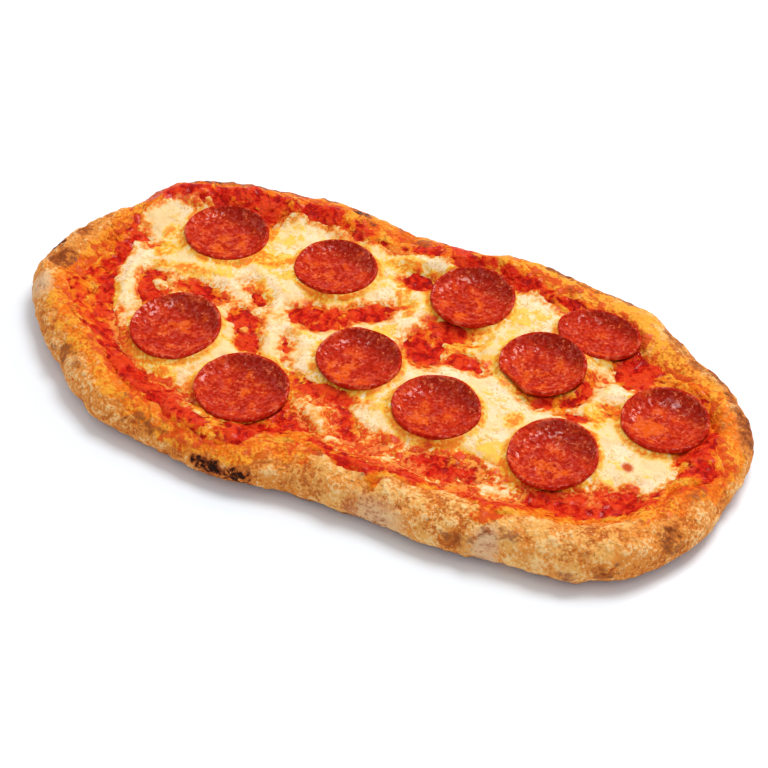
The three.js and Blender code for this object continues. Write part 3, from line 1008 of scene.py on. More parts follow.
@dataclass
class Crust:
    """The fine surface of the dough."""

    loaf: Loaf
    terrain: Terrain
    sauce_line: Outline
    top_steps: int = 20
    lower_steps: int = 14
    slope_steps: int = 24
    slope_pitch: float = 0.9
    underside_rings: int = 8
    underside_innermost: float = 0.12
    underside_depth: float = 30.0
    middle_rings: int = 6
    middle_drop: float = 0.6
    heading_span: int = 20
    wrinkle_squash: float = 1.6
    folds: Texture = Texture(0.7, 7, 31)
    wrinkles: Texture = Texture(0.55, 3.4, 37, 2)
    pimples: Texture = Texture(0.28, 1.7, 39, 2)
    blisters: Texture = Texture(1.0, 9, 41, 2)
    blister_from: float = 0.25
    blister_gain: float = 1.7
    wrinkled: Rise = Rise(36, 22)
    floor_clear: Rise = Rise(0.0, 2.5)
    floor_share: float = 0.15
    ceiling: float = 23.5
    tiny: float = 1e-9
    raised_level: float = 0.5
    raised_gain: float = 0.75
    raised_blister: float = 0.5
    scorched: Marks = Marks(1.0, 0.55, 57, (
        Spot(-122, 59, 19, 9, 4, 6, 28), Spot(-100, 64, 18, 4, 3, 4), Spot(-50, 72, 19, 5, 3.5, 5),
        Spot(-43, 69, 18, 4, 3, 4), Spot(-3, 76, 18, 6, 3.5, 5), Spot(-155, -8, 14, 8, 3.5, 5, 80),
        Spot(-19, -84, 9.5, 8, 6, 5, -8), Spot(-33, -84.5, 11, 10, 5, 3.5, -10),
    ))
    floury: tuple[Patch, ...] = (
        Patch(87, -74, 4, 7, 20), Patch(-147, -33, 5, 3), Patch(40, -79, 8, 4),
    )
    ember: Marks = Marks(0.55, 0.6, 55, (
        Spot(-148, -16, 15, 8, 7, 8), Spot(149, -36, 14, 8, 5, 6, 60), Spot(136, -60, 12, 12, 5, 6, 35),
        Spot(-114, -62, 15, 9, 5, 6), Spot(-66, -79, 14, 12, 5, 5), Spot(-150, 3, 18, 6, 5, 5, 80),
        Spot(-145, 20, 17, 6, 4, 5, 60), Spot(-28, -85, 8, 17, 6, 5, -8), Spot(-104, 66, 18, 12, 4, 5, 16),
        Spot(-47, 71, 18, 11, 5, 5, -15), Spot(-3, 76, 18, 8, 4, 5), Spot(29, 80, 18, 9, 3, 5),
        Spot(54, 79, 17, 5, 3, 4), Spot(65, 79, 16, 5, 3, 4, -10), Spot(106, 65, 16, 7, 4, 5, -30),
        Spot(120, 55, 16, 7, 4, 5, -35), Spot(131, 52, 15, 6, 3, 5, -40), Spot(72, -74, 13, 9, 5, 6, 5),
        Spot(84, -57, 17, 5, 4, 5),
    ))
    # the dents at both ends, painted dark brown: browning together with painted shade
    shaded_pockets: Marks = Marks(0.8, 0.4, 56, (
        Spot(-148, -16, 18, 9, 7, 9, 80), Spot(146, -34, 15, 8, 4, 6, 60),
    ))
    drips: tuple[Patch, ...] = (Patch(82, -61, 7, 4.5, 75),)
    wander: Texture = Texture(1.0, 12, 51, 4)
    stain_wander: float = 3.0
    stain_reach: float = 15.0
    stain_loss: float = 7.0
    left_end: Rise = Rise(-132, -150)
    bare_reach: float = 4.0
    bare_y: float = -42.0
    bare_x: float = 2.0
    bare_side: Rise = Rise(10, -12)
    bare_length: Rise = Rise(-16, 16)
    stain_edge: Rise = Rise(0, 9)
    stain_height: Rise = Rise(11.5, 15.5)
    stain_height_wander: float = 1.5
    drip_blur: float = 3.0
    sauced: Rise = Rise(-2, 3)
    red_edge: Rise = Rise(-9, 1)
    foot: Rise = Rise(5.2, 2.6)
    foot_wander: float = 0.8
    blister_top: Rise = Rise(0.1, 0.8)
    blister_toast: float = 0.4
    seared_share: float = 0.9
    seared_inset: Rise = Rise(8.5, 4.5)
    seared_side: Rise = Rise(10, 40)
    seared_gaps: Rise = Rise(-0.5, 0.3)
    searing: Texture = Texture(1.0, 14, 59)
    underside_height: float = 0.05
    underside_toast: float = 0.55
    underside_patches: Texture = Texture(0.35, 9, 53)
    baked_left: Rise = Rise(30, -30)
    baked_right: Rise = Rise(120, 150)
    gilded_length: Rise = Rise(10, 60)
    gilded_side: Rise = Rise(30, 60)
    ungilded_end: Rise = Rise(132, 148)
    ungilded_share: float = 0.5
    flour_blur: float = 5.0
    flour_height: Rise = Rise(1.5, 5)

    def rings(self) -> tuple[Array, Array, Array, int]:
        """The rings of points from the underside's middle over the rim to the middle of the top.

        Returns:
            The points, each one's inset, whether each one's fine relief shows, and the number of the
            ring at the widest line.
        """
        loaf = self.loaf
        line = loaf.outline.spaced(loaf.around)
        ahead, behind = np.roll(line, -self.heading_span, 0), np.roll(line, self.heading_span, 0)
        inward = np.stack([behind[:, 1] - ahead[:, 1], ahead[:, 0] - behind[:, 0]], 1)
        inward /= np.linalg.norm(inward, axis=1)[:, None]
        bulge = loaf.side_bulges.at(line[:, 0], line[:, 1])
        turns = np.linspace(0, 1, loaf.around, endpoint=False)
        spine = np.stack([loaf.spine_half * np.cos(2 * np.pi * turns), np.zeros(loaf.around)], 1)

        def ring(inset: float) -> Array:
            """The places that lie inset in from the widest line."""
            pushed = inset - bulge * max(0.0, 1 - inset / loaf.underside_inset)
            return line + inward * np.reshape(pushed, (-1, 1))

        def all_round(value: float) -> Array:
            """The same value at each point of a ring."""
            return np.full(loaf.around, value)

        levels = []
        edge = ring(loaf.underside_inset)
        for share in np.linspace(self.underside_innermost, 1, self.underside_rings):
            place = spine + (edge - spine) * share
            levels.append((place, all_round(self.underside_depth), all_round(0.0), 0.0))
        for turn in np.linspace(0, math.pi / 2, self.lower_steps + 1)[1:]:
            inset = loaf.underside_inset * (1 - math.sin(turn))
            height = loaf.widest_height * (1 - math.cos(turn))
            levels.append((ring(inset), all_round(inset), all_round(height), 1.0))
        widest = len(levels) - 1
        quarter = np.linspace(0, math.pi / 2, self.top_steps + 1)[1:]
        insets = [loaf.crest_inset * (1 - math.cos(turn)) for turn in quarter]
        insets += [loaf.crest_inset + self.slope_pitch * step for step in range(1, self.slope_steps + 1)]
        for inset in insets:
            place = ring(inset)
            level = self.terrain.dough(place[:, 0], place[:, 1], all_round(inset))
            levels.append((place, all_round(inset), level, 1.0))
        last = levels[-1][0]
        for share in np.linspace(0, 1, self.middle_rings + 2)[1:-1]:
            place = last + (spine - last) * share
            inset = loaf.outline.inside(place[:, 0], place[:, 1])
            level = self.terrain.dough(place[:, 0], place[:, 1], inset)
            levels.append((place, inset, level - self.middle_drop, 0.0))
        points = np.concatenate([np.c_[place, height] for place, _, height, _ in levels])
        inset = np.concatenate([inset for _, inset, _, _ in levels])
        shown = np.concatenate([all_round(show) for _, _, _, show in levels])
        return points, inset, shown, widest

    def faces(self, rings: int) -> list:
        """Quads between the rings, and the two ladders that close the middle below and above.

        Args:
            rings: how many rings there are.
        Returns:
            The faces.
        """
        around = self.loaf.around
        faces = ring_faces(rings, around)
        top = (rings - 1) * around
        for i in range(around // 2):
            ladder = list(dict.fromkeys([i, i + 1, around - i - 1, (around - i) % around]))
            if len(ladder) > 2:
                faces.append(ladder[::-1])
                faces.append([top + corner for corner in ladder])
        return faces

    def build(self) -> Piece:
        """Make the crust: rings, wrinkles and blisters, then its masks.

        Returns:
            The piece.
        """
        points, inset, shown, widest = self.rings()
        around = self.loaf.around
        rings = len(points) // around
        grid = points.reshape(rings, around, 3)
        along = np.roll(grid, -1, 1) - np.roll(grid, 1, 1)
        normal = np.cross(along, np.gradient(grid, axis=0))
        normal /= np.linalg.norm(normal, axis=2)[..., None] + self.tiny
        normal = normal.reshape(-1, 3)
        stretched = points * np.array([1, 1, self.wrinkle_squash])
        wrinkle = self.folds.at(stretched) + self.wrinkles.at(points)
        wrinkle += self.pimples.at(points)
        blister = np.maximum(0, self.blisters.at(points) - self.blister_from) * self.blister_gain
        clear = self.floor_share + (1 - self.floor_share) * self.floor_clear.of(points[:, 2])
        lift = (wrinkle + blister) * (shown * self.wrinkled.of(inset)) * clear
        lift = np.minimum(lift, self.ceiling - points[:, 2])
        points = points + normal * lift[:, None]
        points[:, 2] = np.maximum(points[:, 2], 0)
        piece = Piece("crust", points, self.faces(rings))
        self.mask(piece, points, inset, blister, widest)
        raised = wrinkle + self.raised_blister * blister
        piece.paint(raised=self.raised_level + self.raised_gain * raised)
        return piece

    def mask(self, piece: Piece, points: Array, inset: Array, blister: Array, widest: int) -> None:
        """Paint where the crust is oily, browned, darkened by painted shade in the dents at its ends,
        scorched, floury and reddened by sauce.

        Args:
            piece: the crust.
            points: its points.
            inset: how far each lies in from the widest line.
            blister: how far each is lifted by a blister.
            widest: the number of the ring at the widest line.
        """
        x, y, z = points.T
        upper = np.arange(len(points)) >= widest * self.loaf.around
        wander = self.wander.at(points)
        sauce = self.sauce_line.inside(x, y) + self.stain_wander * wander
        bare = self.bare_side.of(y - self.bare_y) * self.bare_length.of(x - self.bare_x)
        reach = self.stain_reach + (self.bare_reach - self.stain_reach) * bare
        reach = reach - self.stain_loss * self.left_end.of(x)
        stain_height = self.stain_height.of(z + self.stain_height_wander * wander)
        oily = self.stain_edge.of(sauce + reach) * stain_height
        dripped = patched(x, y, self.drips, self.drip_blur)
        oily = np.maximum(np.maximum(oily, dripped), self.sauced.of(sauce)) * upper
        red = np.maximum(self.red_edge.of(sauce), dripped)
        foot = self.foot.of(z + self.foot_wander * wander)
        seared = self.seared_inset.of(inset) * self.seared_side.of(y)
        seared = seared * self.seared_gaps.of(self.searing.at(points))
        toast = np.maximum(foot, self.blister_toast * self.blister_top.of(blister))
        # the dents at the ends get browning together with painted shade
        for browned in (self.ember.at(points), self.shaded_pockets.at(points), self.seared_share * seared * upper):
            toast = np.maximum(toast, browned)
        underside = self.underside_toast + self.underside_patches.at(points)
        toast = np.where(z < self.underside_height, underside, toast)
        baked = np.maximum(self.baked_left.of(x), self.baked_right.of(x))
        gilded = self.gilded_length.of(x) * self.gilded_side.of(y)
        gilded = gilded - self.ungilded_share * self.ungilded_end.of(x)
        floury = patched(x, y, self.floury, self.flour_blur) * (1 - oily) * self.flour_height.of(z)
        piece.paint(oily=oily, reddened=red, toast=toast, charred=self.scorched.at(points), baked=baked,
                    gilded=gilded, floury=floury)


# ---- sauce -------------------------------------------------------------------------------------
DEEP_RED = tint(146, 8, 4)


@dataclass(frozen=True)
class SauceFinish:
    """Baked tomato sauce: wet red pulp with painted light and shade on its lumps, orange and gold under
    oil.
    """

    red: Colour = tint(208, 28, 9)
    # painted light on the lumps of the pulp
    bright: Veil = Veil(tint(226, 64, 22), 0.44, 0.6, 0.95)
    # painted shade in the hollows between the lumps
    deep: Veil = Veil(DEEP_RED, 0.5, 1.05, 0.8)
    orange: Colour = tint(236, 118, 18)
    gold: Veil = Veil(tint(246, 176, 56), 0.46, 0.62, 0.85)
    oil: Rise = Rise(0.4, 0.95)
    oil_share: float = 0.92
    pale: Veil = Veil(tint(243, 148, 72), 0.25, 1.05, 0.7)
    specks: Veil = Veil(DEEP_RED, 0.42, 0.52, 0.3)
    pulp_noise: Speckle = Speckle(1.9, 4.0, 0.6)
    fine_noise: Speckle = Speckle(0.8)
    patchy_noise: Speckle = Speckle(4.5, 4.0, 0.5)
    speck_noise: Speckle = Speckle(1.2, 3.0, 0.5)
    wet_noise: Speckle = Speckle(2.2)
    speck: Rise = Rise(0.6, 0.68)
    wet: Rise = Rise(0.52, 0.64)
    wet_share: float = 0.26
    raised_share: float = 0.4
    pulp_share: float = 0.6
    gilded_oil: float = 0.2
    relief_depth: float = 2.3

    def dress(self) -> bpy.types.Material:
        """Make the material.

        Returns:
            The material, which reads the masks painted on its mesh.
        """
        recipe = Recipe("tomato_sauce")
        pulp, fine = recipe.noise(self.pulp_noise), recipe.noise(self.fine_noise)
        patchy, raised = recipe.noise(self.patchy_noise), recipe.mask("raised")
        # painted light: brighter red on the raised lumps
        lit = (raised * self.raised_share + pulp * self.pulp_share).stirred((fine, 0.4))
        colour = recipe.lay(self.red, self.bright, lit)
        # painted shade: deep red in the hollows
        hollow = (1 - raised - (pulp - 0.5) * 3.0).stirred((fine, 1.2))
        colour = recipe.lay(colour, self.deep, hollow)
        oily = recipe.mask("oily")
        gilded = patchy.stirred((fine, 0.6)) + (oily - 1) * self.gilded_oil
        oil = recipe.lay(self.orange, self.gold, gilded)
        oiled = oily.stirred((pulp, 2.2), (patchy, 2.2)).along(self.oil)
        colour = recipe.over(colour, oil, oiled * self.oil_share)
        filmed = recipe.mask("filmed").broken((pulp, 4.0), (fine, 3.0))
        colour = recipe.lay(colour, self.pale, filmed)
        specks = recipe.noise(self.speck_noise).along(self.speck)
        colour = recipe.lay(colour, self.specks, patchy, specks)
        wet = recipe.noise(self.wet_noise).along(self.wet) * self.wet_share
        bump = recipe.relief(pulp + fine * 0.4, self.relief_depth)
        return recipe.finish(Base_Color=colour, Roughness=0.45, Normal=bump, Specular_IOR_Level=0.05,
                             Coat_Weight=wet, Coat_Roughness=0.14)


@dataclass
class Sauce:
    """The skin of tomato sauce on the dough."""

    terrain: Terrain
    line: Outline
    thickness: float = 1.6
    edge: float = 0.7
    softness: float = 8.0
    pitch: float = 1.05
    grid_margin: float = 4.0
    outermost: float = -2.2
    edge_wander: Texture = Texture(3.0, 12, 61)
    edge_fray: Texture = Texture(1.2, 4, 63, 2)
    pulp_lumps: Lumps = Lumps(0.8, 13.0, 11)
    pulp: Texture = Texture(1.0, 5.0, 67)
    chunks: Texture = Texture(1.0, 3.0, 71, 2)
    chunk_height: float = 0.7
    shown: Rise = Rise(-1.0, 2.2)
    tucked: Rise = Rise(1.0, -2.0)
    tuck: float = 1.2
    depth: float = 0.6
    buried: float = 0.8
    mottling: tuple[Texture, ...] = (Texture(0.45, 14, 73, 2), Texture(0.6, 5, 74, 2))
    filming: Texture = Texture(0.3, 18, 75, 2)
    beside_cheese: Rise = Rise(-4.0, 0.0)
    oily_edge: Rise = Rise(6, -1)
    red_blur: float = 6.0
    window_blur: float = 2.0
    oil_level: float = 0.8
    oil_lost_to_red: float = 0.75
    oil_at_edge: float = 0.4
    oil_by_cheese: float = 0.3
    film_of_cheese: float = 0.6
    film_by_cheese: float = 0.3
    film_lost_to_red: float = 0.3
    raised_level: float = 0.5
    raised_pulp: float = 0.4
    raised_chunks: float = 0.35
    reds: tuple[Patch, ...] = (
        Patch(-120, 48, 18, 6, 28), Patch(-92, 57, 9, 4, 10), Patch(-68, 62, 8, 3), Patch(-46, 60, 7, 3),
        Patch(-6, 70, 7, 3), Patch(7, 66, 6, 3), Patch(30, 66, 8, 3), Patch(55, 66, 6, 2),
        Patch(-8, 51, 8, 4),
        Patch(-124, -7, 24, 6, -68), Patch(-110, -46, 11, 3, -32), Patch(-84, -56, 10, 4, -10),
        Patch(-52, -66, 30, 5, -8), Patch(-22, -52, 12, 9), Patch(4, -46, 24, 7, -48),
        Patch(26, -61, 6, 2.5), Patch(42, -58, 5, 3), Patch(54, -43, 12, 6, 15), Patch(82, -54, 5, 6),
        Patch(113, -31, 20, 6, 25), Patch(143, 9, 14, 5, -60), Patch(98, 43, 11, 7, -60),
        Patch(128, 0, 6, 4, 60), Patch(74, 62, 5, 2),
    )

    def cover(self, x: Array, y: Array) -> Array:
        """How far inside the sauce's ragged edge each place lies."""
        flat = flat_points(x, y)
        return self.line.inside(x, y) + self.edge_wander.at(flat) + self.edge_fray.at(flat)

    def top(self, x: Array, y: Array, inset: Array, cover: Array) -> Array:
        """Height of the sauce's top, dipping under the dough beyond its edge.

        Args:
            x, y: the places.
            inset: how far in from the dough's widest line each lies.
            cover: how far inside the sauce's edge each lies.
        Returns:
            The heights.
        """
        flat = flat_points(x, y)
        heaped = np.maximum(0, self.pulp_lumps.at(x, y))
        body = self.edge + (self.thickness - self.edge + heaped) * ramp(0, self.softness, cover)
        relief = self.chunk_height * self.pulp.at(flat)
        relief = relief + self.chunk_height * np.maximum(0, self.chunks.at(flat))
        thickness = (body + relief) * self.shown.of(cover) - self.tuck * self.tucked.of(cover)
        height = self.terrain.dough(x, y, inset) + self.terrain.gap + thickness
        height = np.maximum(height, np.where(cover > 0, self.terrain.fillet(x, y), -FAR))
        return np.minimum(height, self.terrain.limit(x, y) - self.terrain.gap)

    def build(self, loaf: Loaf, cheese: "Cheese") -> Piece:
        """Make the sauce as a closed thin sheet on a grid.

        Args:
            loaf: the dough that it lies on.
            cheese: the cheese on it, which films and oils it near its edges.
        Returns:
            The piece.
        """
        sheet = Sheet(self.line, self.grid_margin, self.pitch)
        cover = self.cover(sheet.x, sheet.y)
        cover = cover[sheet.cut(cover, self.outermost)]
        x, y = sheet.x, sheet.y
        inset = loaf.outline.inside(x, y)
        top = self.top(x, y, inset, cover)
        underside = np.minimum(top - self.depth, self.terrain.dough(x, y, inset) - self.buried)
        return sheet.piece("sauce_skin", top, underside, self.masks(x, y, cover, cheese))

    def masks(self, x: Array, y: Array, cover: Array, cheese: "Cheese") -> dict[str, Array]:
        """Where the sauce is raised, oily, and filmed over by melted cheese.

        Args:
            x, y: the places.
            cover: how far inside the sauce's edge each lies.
            cheese: the cheese on the sauce.
        Returns:
            The masks by name.
        """
        flat = flat_points(x, y)
        beside = self.beside_cheese.of(cheese.cover(x, y, cover))
        windows = patched(x, y, cheese.windows + cheese.small_windows, self.window_blur)
        red = np.maximum(patched(x, y, self.reds, self.red_blur), windows)
        mottled = sum(texture.at(flat) for texture in self.mottling)
        oily = self.oil_level - self.oil_lost_to_red * red + self.oil_at_edge * self.oily_edge.of(cover)
        oily = oily + self.oil_by_cheese * beside + mottled
        mingled = patched(x, y, cheese.mingled, cheese.mingled_blur)
        filmed = self.film_of_cheese * mingled + self.film_by_cheese * beside
        filmed = filmed + self.filming.at(flat) - self.film_lost_to_red * red
        raised = self.raised_level + self.raised_pulp * self.pulp.at(flat)
        raised = raised + self.raised_chunks * np.maximum(0, self.chunks.at(flat))
        return {"raised": raised, "oily": np.clip(oily, 0, 1), "filmed": np.clip(filmed, 0, 1)}


# ---- mozzarella --------------------------------------------------------------------------------
BUTTER = tint(244, 190, 52)
AMBER = tint(238, 116, 14)


@dataclass(frozen=True)
class CheeseFinish:
    """Melted mozzarella: cream, with yellow oil, orange and red veils at its edges and herb flecks."""

    cream: Colour = tint(243, 206, 150)
    milk: Veil = Veil(tint(249, 217, 177), 0.4, 0.6)
    butter: Veil = Veil(BUTTER, 0.25, 1.0, 0.85)
    peach: Veil = Veil(tint(244, 168, 80), 0.1, 0.75, 0.9)
    run_edge: Veil = Veil(BUTTER, 0.05, 0.5, 0.8)
    run: Veil = Veil(AMBER, 0.35, 1.15, 0.9)
    amber: Veil = Veil(AMBER, 0.45, 1.0, 0.92)
    coral: Veil = Veil(tint(216, 58, 14), 0.8, 1.3, 0.92)
    herb: Veil = Veil(tint(204, 152, 36), 0.38, 0.52, 0.65)
    toasted: Colour = tint(190, 70, 18)
    soft_noise: Speckle = Speckle(2.6, 4.0, 0.5)
    broad_noise: Speckle = Speckle(10.0, 3.0, 0.6)
    fine_noise: Speckle = Speckle(0.9)
    herb_noise: Speckle = Speckle(1.3, 2.0, 2.0)
    fleck: Rise = Rise(0.54, 0.66)
    wet: Rise = Rise(0.5, 0.62)
    wet_share: float = 0.15
    relief_depth: float = 1.0
    glow_reach: tuple = (1.0, 0.6, 0.3)
    glow_metres: float = 0.004

    def dress(self) -> bpy.types.Material:
        """Make the material.

        Returns:
            The material, which reads the masks painted on its mesh.
        """
        recipe = Recipe("melted_mozzarella")
        soft, broad = recipe.noise(self.soft_noise), recipe.noise(self.broad_noise)
        fine, rim = recipe.noise(self.fine_noise), recipe.mask("rim")
        colour = recipe.lay(self.cream, self.milk, broad)
        buttery = recipe.mask("buttery").stirred((soft, 3.5), (fine, 2.0))
        colour = recipe.lay(colour, self.butter, buttery)
        veiled = (recipe.mask("veiled") + (1 - rim)).broken((soft, 3.6), (fine, 2.4))
        colour = recipe.lay(colour, self.peach, veiled)
        running = recipe.mask("amber").broken((soft, 4.0), (fine, 2.5))
        colour = recipe.lay(colour, self.run_edge, running)
        colour = recipe.lay(colour, self.run, running)
        colour = recipe.lay(colour, self.amber, veiled)
        colour = recipe.lay(colour, self.coral, veiled)
        flecks = recipe.noise(self.herb_noise).along(self.fleck)
        colour = recipe.lay(colour, self.herb, broad, flecks)
        colour = recipe.over(colour, self.toasted, recipe.mask("toasted"))
        wet = soft.along(self.wet) * self.wet_share
        bump = recipe.relief(soft * 0.8 + fine * 0.3, self.relief_depth)
        return recipe.finish(Base_Color=colour, Roughness=0.5, Normal=bump, Specular_IOR_Level=0.1,
                             Coat_Weight=wet, Coat_Roughness=0.2, Subsurface_Weight=0.35,
                             Subsurface_Radius=self.glow_reach, Subsurface_Scale=self.glow_metres)


@dataclass
class Cheese:
    """The melted mozzarella: one sheet with holes through which the sauce shows."""

    sauce: Sauce
    line: Outline
    thickness: float = 2.4
    edge: float = 0.5
    softness: float = 8.0
    margin: float = 4.0
    pitch: float = 0.85
    grid_margin: float = 3.0
    outermost: float = -1.8
    curds: Lumps = Lumps(0.9, 22.0, 21)
    edge_wander: Texture = Texture(1.9, 9, 81)
    edge_fray: Texture = Texture(1.2, 3.2, 85, 2)
    mingling: Texture = Texture(3.6, 5, 84)
    mingling_loss: float = 0.8
    mingled_edge_blur: float = 5.0
    mingled_blur: float = 6.0
    mingled_ripple: float = 0.5
    mingled_thinning: float = 0.5
    ripples: Texture = Texture(1.0, 7, 83)
    ripple_height: float = 0.3
    shown: Rise = Rise(-0.8, 2.2)
    tucked: Rise = Rise(0.6, -1.6)
    tuck: float = 1.4
    buried: float = 0.5
    least_thickness: float = 0.3
    rim_width: float = 5.0
    pool_blur: float = 4.0
    run_blur: float = 3.0
    halo: Rise = Rise(4.2, 0.4)
    halo_share: float = 0.85
    halo_x: float = 0.3
    halo_y: float = 0.6
    halo_wander: Texture = Texture(0.8, 5, 88, 2)
    buttering: Texture = Texture(0.55, 8, 87)
    ambering: Texture = Texture(0.2, 8, 90, 2)
    veiling: Texture = Texture(0.45, 15, 89)
    toasted: Patch = Patch(117.5, -9, 2.4, 1.8, -50)
    toasted_blur: float = 1.2
    pool_share: float = 0.7
    halo_butter: float = 0.3
    run_share: float = 0.85
    veil_share: float = 0.55
    veil_loss: float = 0.05
    windows: tuple[Patch, ...] = (
        Patch(-62, -7, 9, 5, -30), Patch(-53, -18, 7, 5, -40), Patch(-106, -8, 11, 6, -60),
        Patch(-87, 0, 12, 5), Patch(-35, 9, 13, 7, 20), Patch(-17, 22, 10, 5, 35),
        Patch(13, 15, 11, 8, -60), Patch(17, 28, 9, 5), Patch(31, 15, 9, 4), Patch(-8, 50, 8, 4, 10),
        Patch(82, 21, 10, 5, 70), Patch(72, 10, 8, 4), Patch(-11, -29, 14, 5), Patch(7, -42, 12, 4, -55),
        Patch(53, -43, 14, 6, 10), Patch(-69, -62, 10, 4, -10), Patch(121, -27, 9, 6, 40),
    )
    small_windows: tuple[Patch, ...] = (
        Patch(-37, -14, 6, 2.5, -60), Patch(-64, 8, 5, 2, -30), Patch(98, 19, 4, 3), Patch(40, -56, 5, 3),
        Patch(24, -48, 5, 2.5, 40), Patch(70, -52, 6, 3, -20), Patch(-127, 16, 5, 2.5), Patch(88, 8, 4, 2),
    )
    islands: tuple[Patch, ...] = (
        Patch(-105, -5, 5, 2.5, -20), Patch(-59, -12, 3.2, 2.6), Patch(-70, -60, 6, 2, -10),
        Patch(22, 22, 4, 2, 40), Patch(74, 16, 3, 2), Patch(125, -14, 10, 2.5, 60),
    )
    bulges: tuple[Swell, ...] = (
        Swell(-5, -42, 7, 4.0), Swell(23, -48, 8, 1.8), Swell(67, -48, 8, 1.6), Swell(95, -4, 12, 0.8),
    )
    mingled: tuple[Patch, ...] = (
        Patch(24, -50, 24, 11, -5), Patch(66, -44, 24, 11, 5), Patch(-5, -42, 10, 9),
        Patch(106, -30, 12, 8), Patch(-60, -60, 16, 6, -10), Patch(-100, -38, 14, 7, -50),
        Patch(-114, 42, 6, 3), Patch(128, -22, 8, 5),
    )
    oil_pools: tuple[Patch, ...] = (
        Patch(-71, 31, 8, 5), Patch(-12, 44, 7, 5), Patch(0, 36, 5, 5), Patch(42, 49, 8, 4, 30),
        Patch(38, 19, 6, 3), Patch(-4, 15, 5, 3), Patch(94, 10, 5, 3), Patch(66, -27, 5, 5),
        Patch(12, -25, 8, 3), Patch(-111, 16, 8, 3), Patch(-88, 14, 6, 3), Patch(-87, 6, 6, 2),
        Patch(118, -21, 6, 3), Patch(-60, 24, 7, 3), Patch(-82, -50, 7, 4), Patch(-72, 48, 6, 7),
        Patch(-20, 55, 9, 4), Patch(8, 58, 8, 4), Patch(-34, 16, 6, 3, 30), Patch(46, 30, 4, 8),
    )
    orange_runs: tuple[Patch, ...] = (
        Patch(-70, 29, 9, 3.5, 10), Patch(-79, 43, 2.5, 7), Patch(-80, 25, 3, 6), Patch(-62, 12, 4, 2, -30),
        Patch(-10, 40, 3, 7, 20), Patch(-14, 54, 8, 2.5), Patch(-2, 31, 2.5, 5), Patch(-115, 15, 4, 4),
        Patch(-118, 25, 3, 4), Patch(-100, 8, 8, 2, 10), Patch(26, 20, 5, 3), Patch(96, 17, 7, 3.5, 20),
        Patch(95, 9, 4, 4), Patch(66, -7, 3, 4), Patch(45, -33, 9, 2.5), Patch(-40, -24, 12, 2, -10),
        Patch(-85, -47, 14, 3, -20), Patch(-120, -22, 4, 9, 20), Patch(90, 0, 5, 2), Patch(34, 27, 3, 3),
    )

    def cover(self, x: Array, y: Array, sauce_cover: Array) -> Array:
        """How far inside the cheese's ragged edges each place lies.

        Args:
            x, y: the places.
            sauce_cover: how far inside the sauce's edge each lies.
        Returns:
            The distances, negative beyond the edge and in a hole.
        """
        flat = flat_points(x, y)
        cover = np.minimum(self.line.inside(x, y), sauce_cover - self.margin)
        for window in self.windows + self.small_windows:
            cover = np.minimum(cover, window.beyond(x, y))
        for island in self.islands:
            cover = np.maximum(cover, -island.beyond(x, y))
        mixed = self.mingling.at(flat) - self.mingling_loss
        mixed = patched(x, y, self.mingled, self.mingled_edge_blur) * mixed
        return cover + self.edge_wander.at(flat) + self.edge_fray.at(flat) + mixed

    def build(self, loaf: Loaf) -> Piece:
        """Make the cheese as a closed sheet on a grid, its edges sunk into the sauce.

        Args:
            loaf: the dough under the sauce.
        Returns:
            The piece.
        """
        sheet = Sheet(self.line, self.grid_margin, self.pitch)
        sauce_cover = self.sauce.cover(sheet.x, sheet.y)
        cover = self.cover(sheet.x, sheet.y, sauce_cover)
        used = sheet.cut(cover, self.outermost)
        x, y, cover, sauce_cover = sheet.x, sheet.y, cover[used], sauce_cover[used]
        base = self.sauce.top(x, y, loaf.outline.inside(x, y), sauce_cover)
        body = self.thickness - self.edge + self.curds.at(x, y)
        for bulge in self.bulges:
            body = body + bulge.height(x, y)
        mingled = patched(x, y, self.mingled, self.mingled_blur)
        ripple = (self.ripple_height + self.mingled_ripple * mingled) * self.ripples.at(flat_points(x, y))
        body = (body + ripple) * ramp(0, self.softness, cover)
        thickness = self.edge + body * (1 - self.mingled_thinning * mingled)
        thickness = thickness * self.shown.of(cover) - self.tuck * self.tucked.of(cover)
        top = np.minimum(base + thickness, self.sauce.terrain.limit(x, y))
        underside = np.minimum(base - self.buried, top - self.least_thickness)
        return sheet.piece("cheese_sheet", top, underside, self.masks(x, y, cover, mingled))

    def masks(self, x: Array, y: Array, cover: Array, mingled: Array) -> dict[str, Array]:
        """Where the cheese is thin, buttery, orange with oil, veiled by sauce and toasted.

        Args:
            x, y: the places.
            cover: how far inside the cheese's edges each lies.
            mingled: how much it mingles with the sauce there.
        Returns:
            The masks by name.
        """
        flat = flat_points(x, y)
        beside = self.sauce.terrain.beside(x + self.halo_x, y + self.halo_y) + self.halo_wander.at(flat)
        halo = self.halo_share * self.halo.of(beside)
        pools = patched(x, y, self.oil_pools, self.pool_blur)
        runs = patched(x, y, self.orange_runs, self.run_blur)
        buttery = self.pool_share * pools + self.halo_butter * halo + self.buttering.at(flat)
        veiled = self.veil_share * mingled + self.veiling.at(flat) - self.veil_loss
        return {
            "rim": np.clip(cover / self.rim_width, 0, 1),
            "buttery": np.clip(buttery, 0, 1),
            "amber": np.clip(self.run_share * runs + halo + self.ambering.at(flat), 0, 1),
            "veiled": np.clip(veiled, 0, 1),
            "toasted": patched(x, y, (self.toasted,), self.toasted_blur),
        }


# ---- pepperoni ---------------------------------------------------------------------------------
DARK_MEAT = tint(108, 14, 8)
FAT = tint(238, 124, 80)


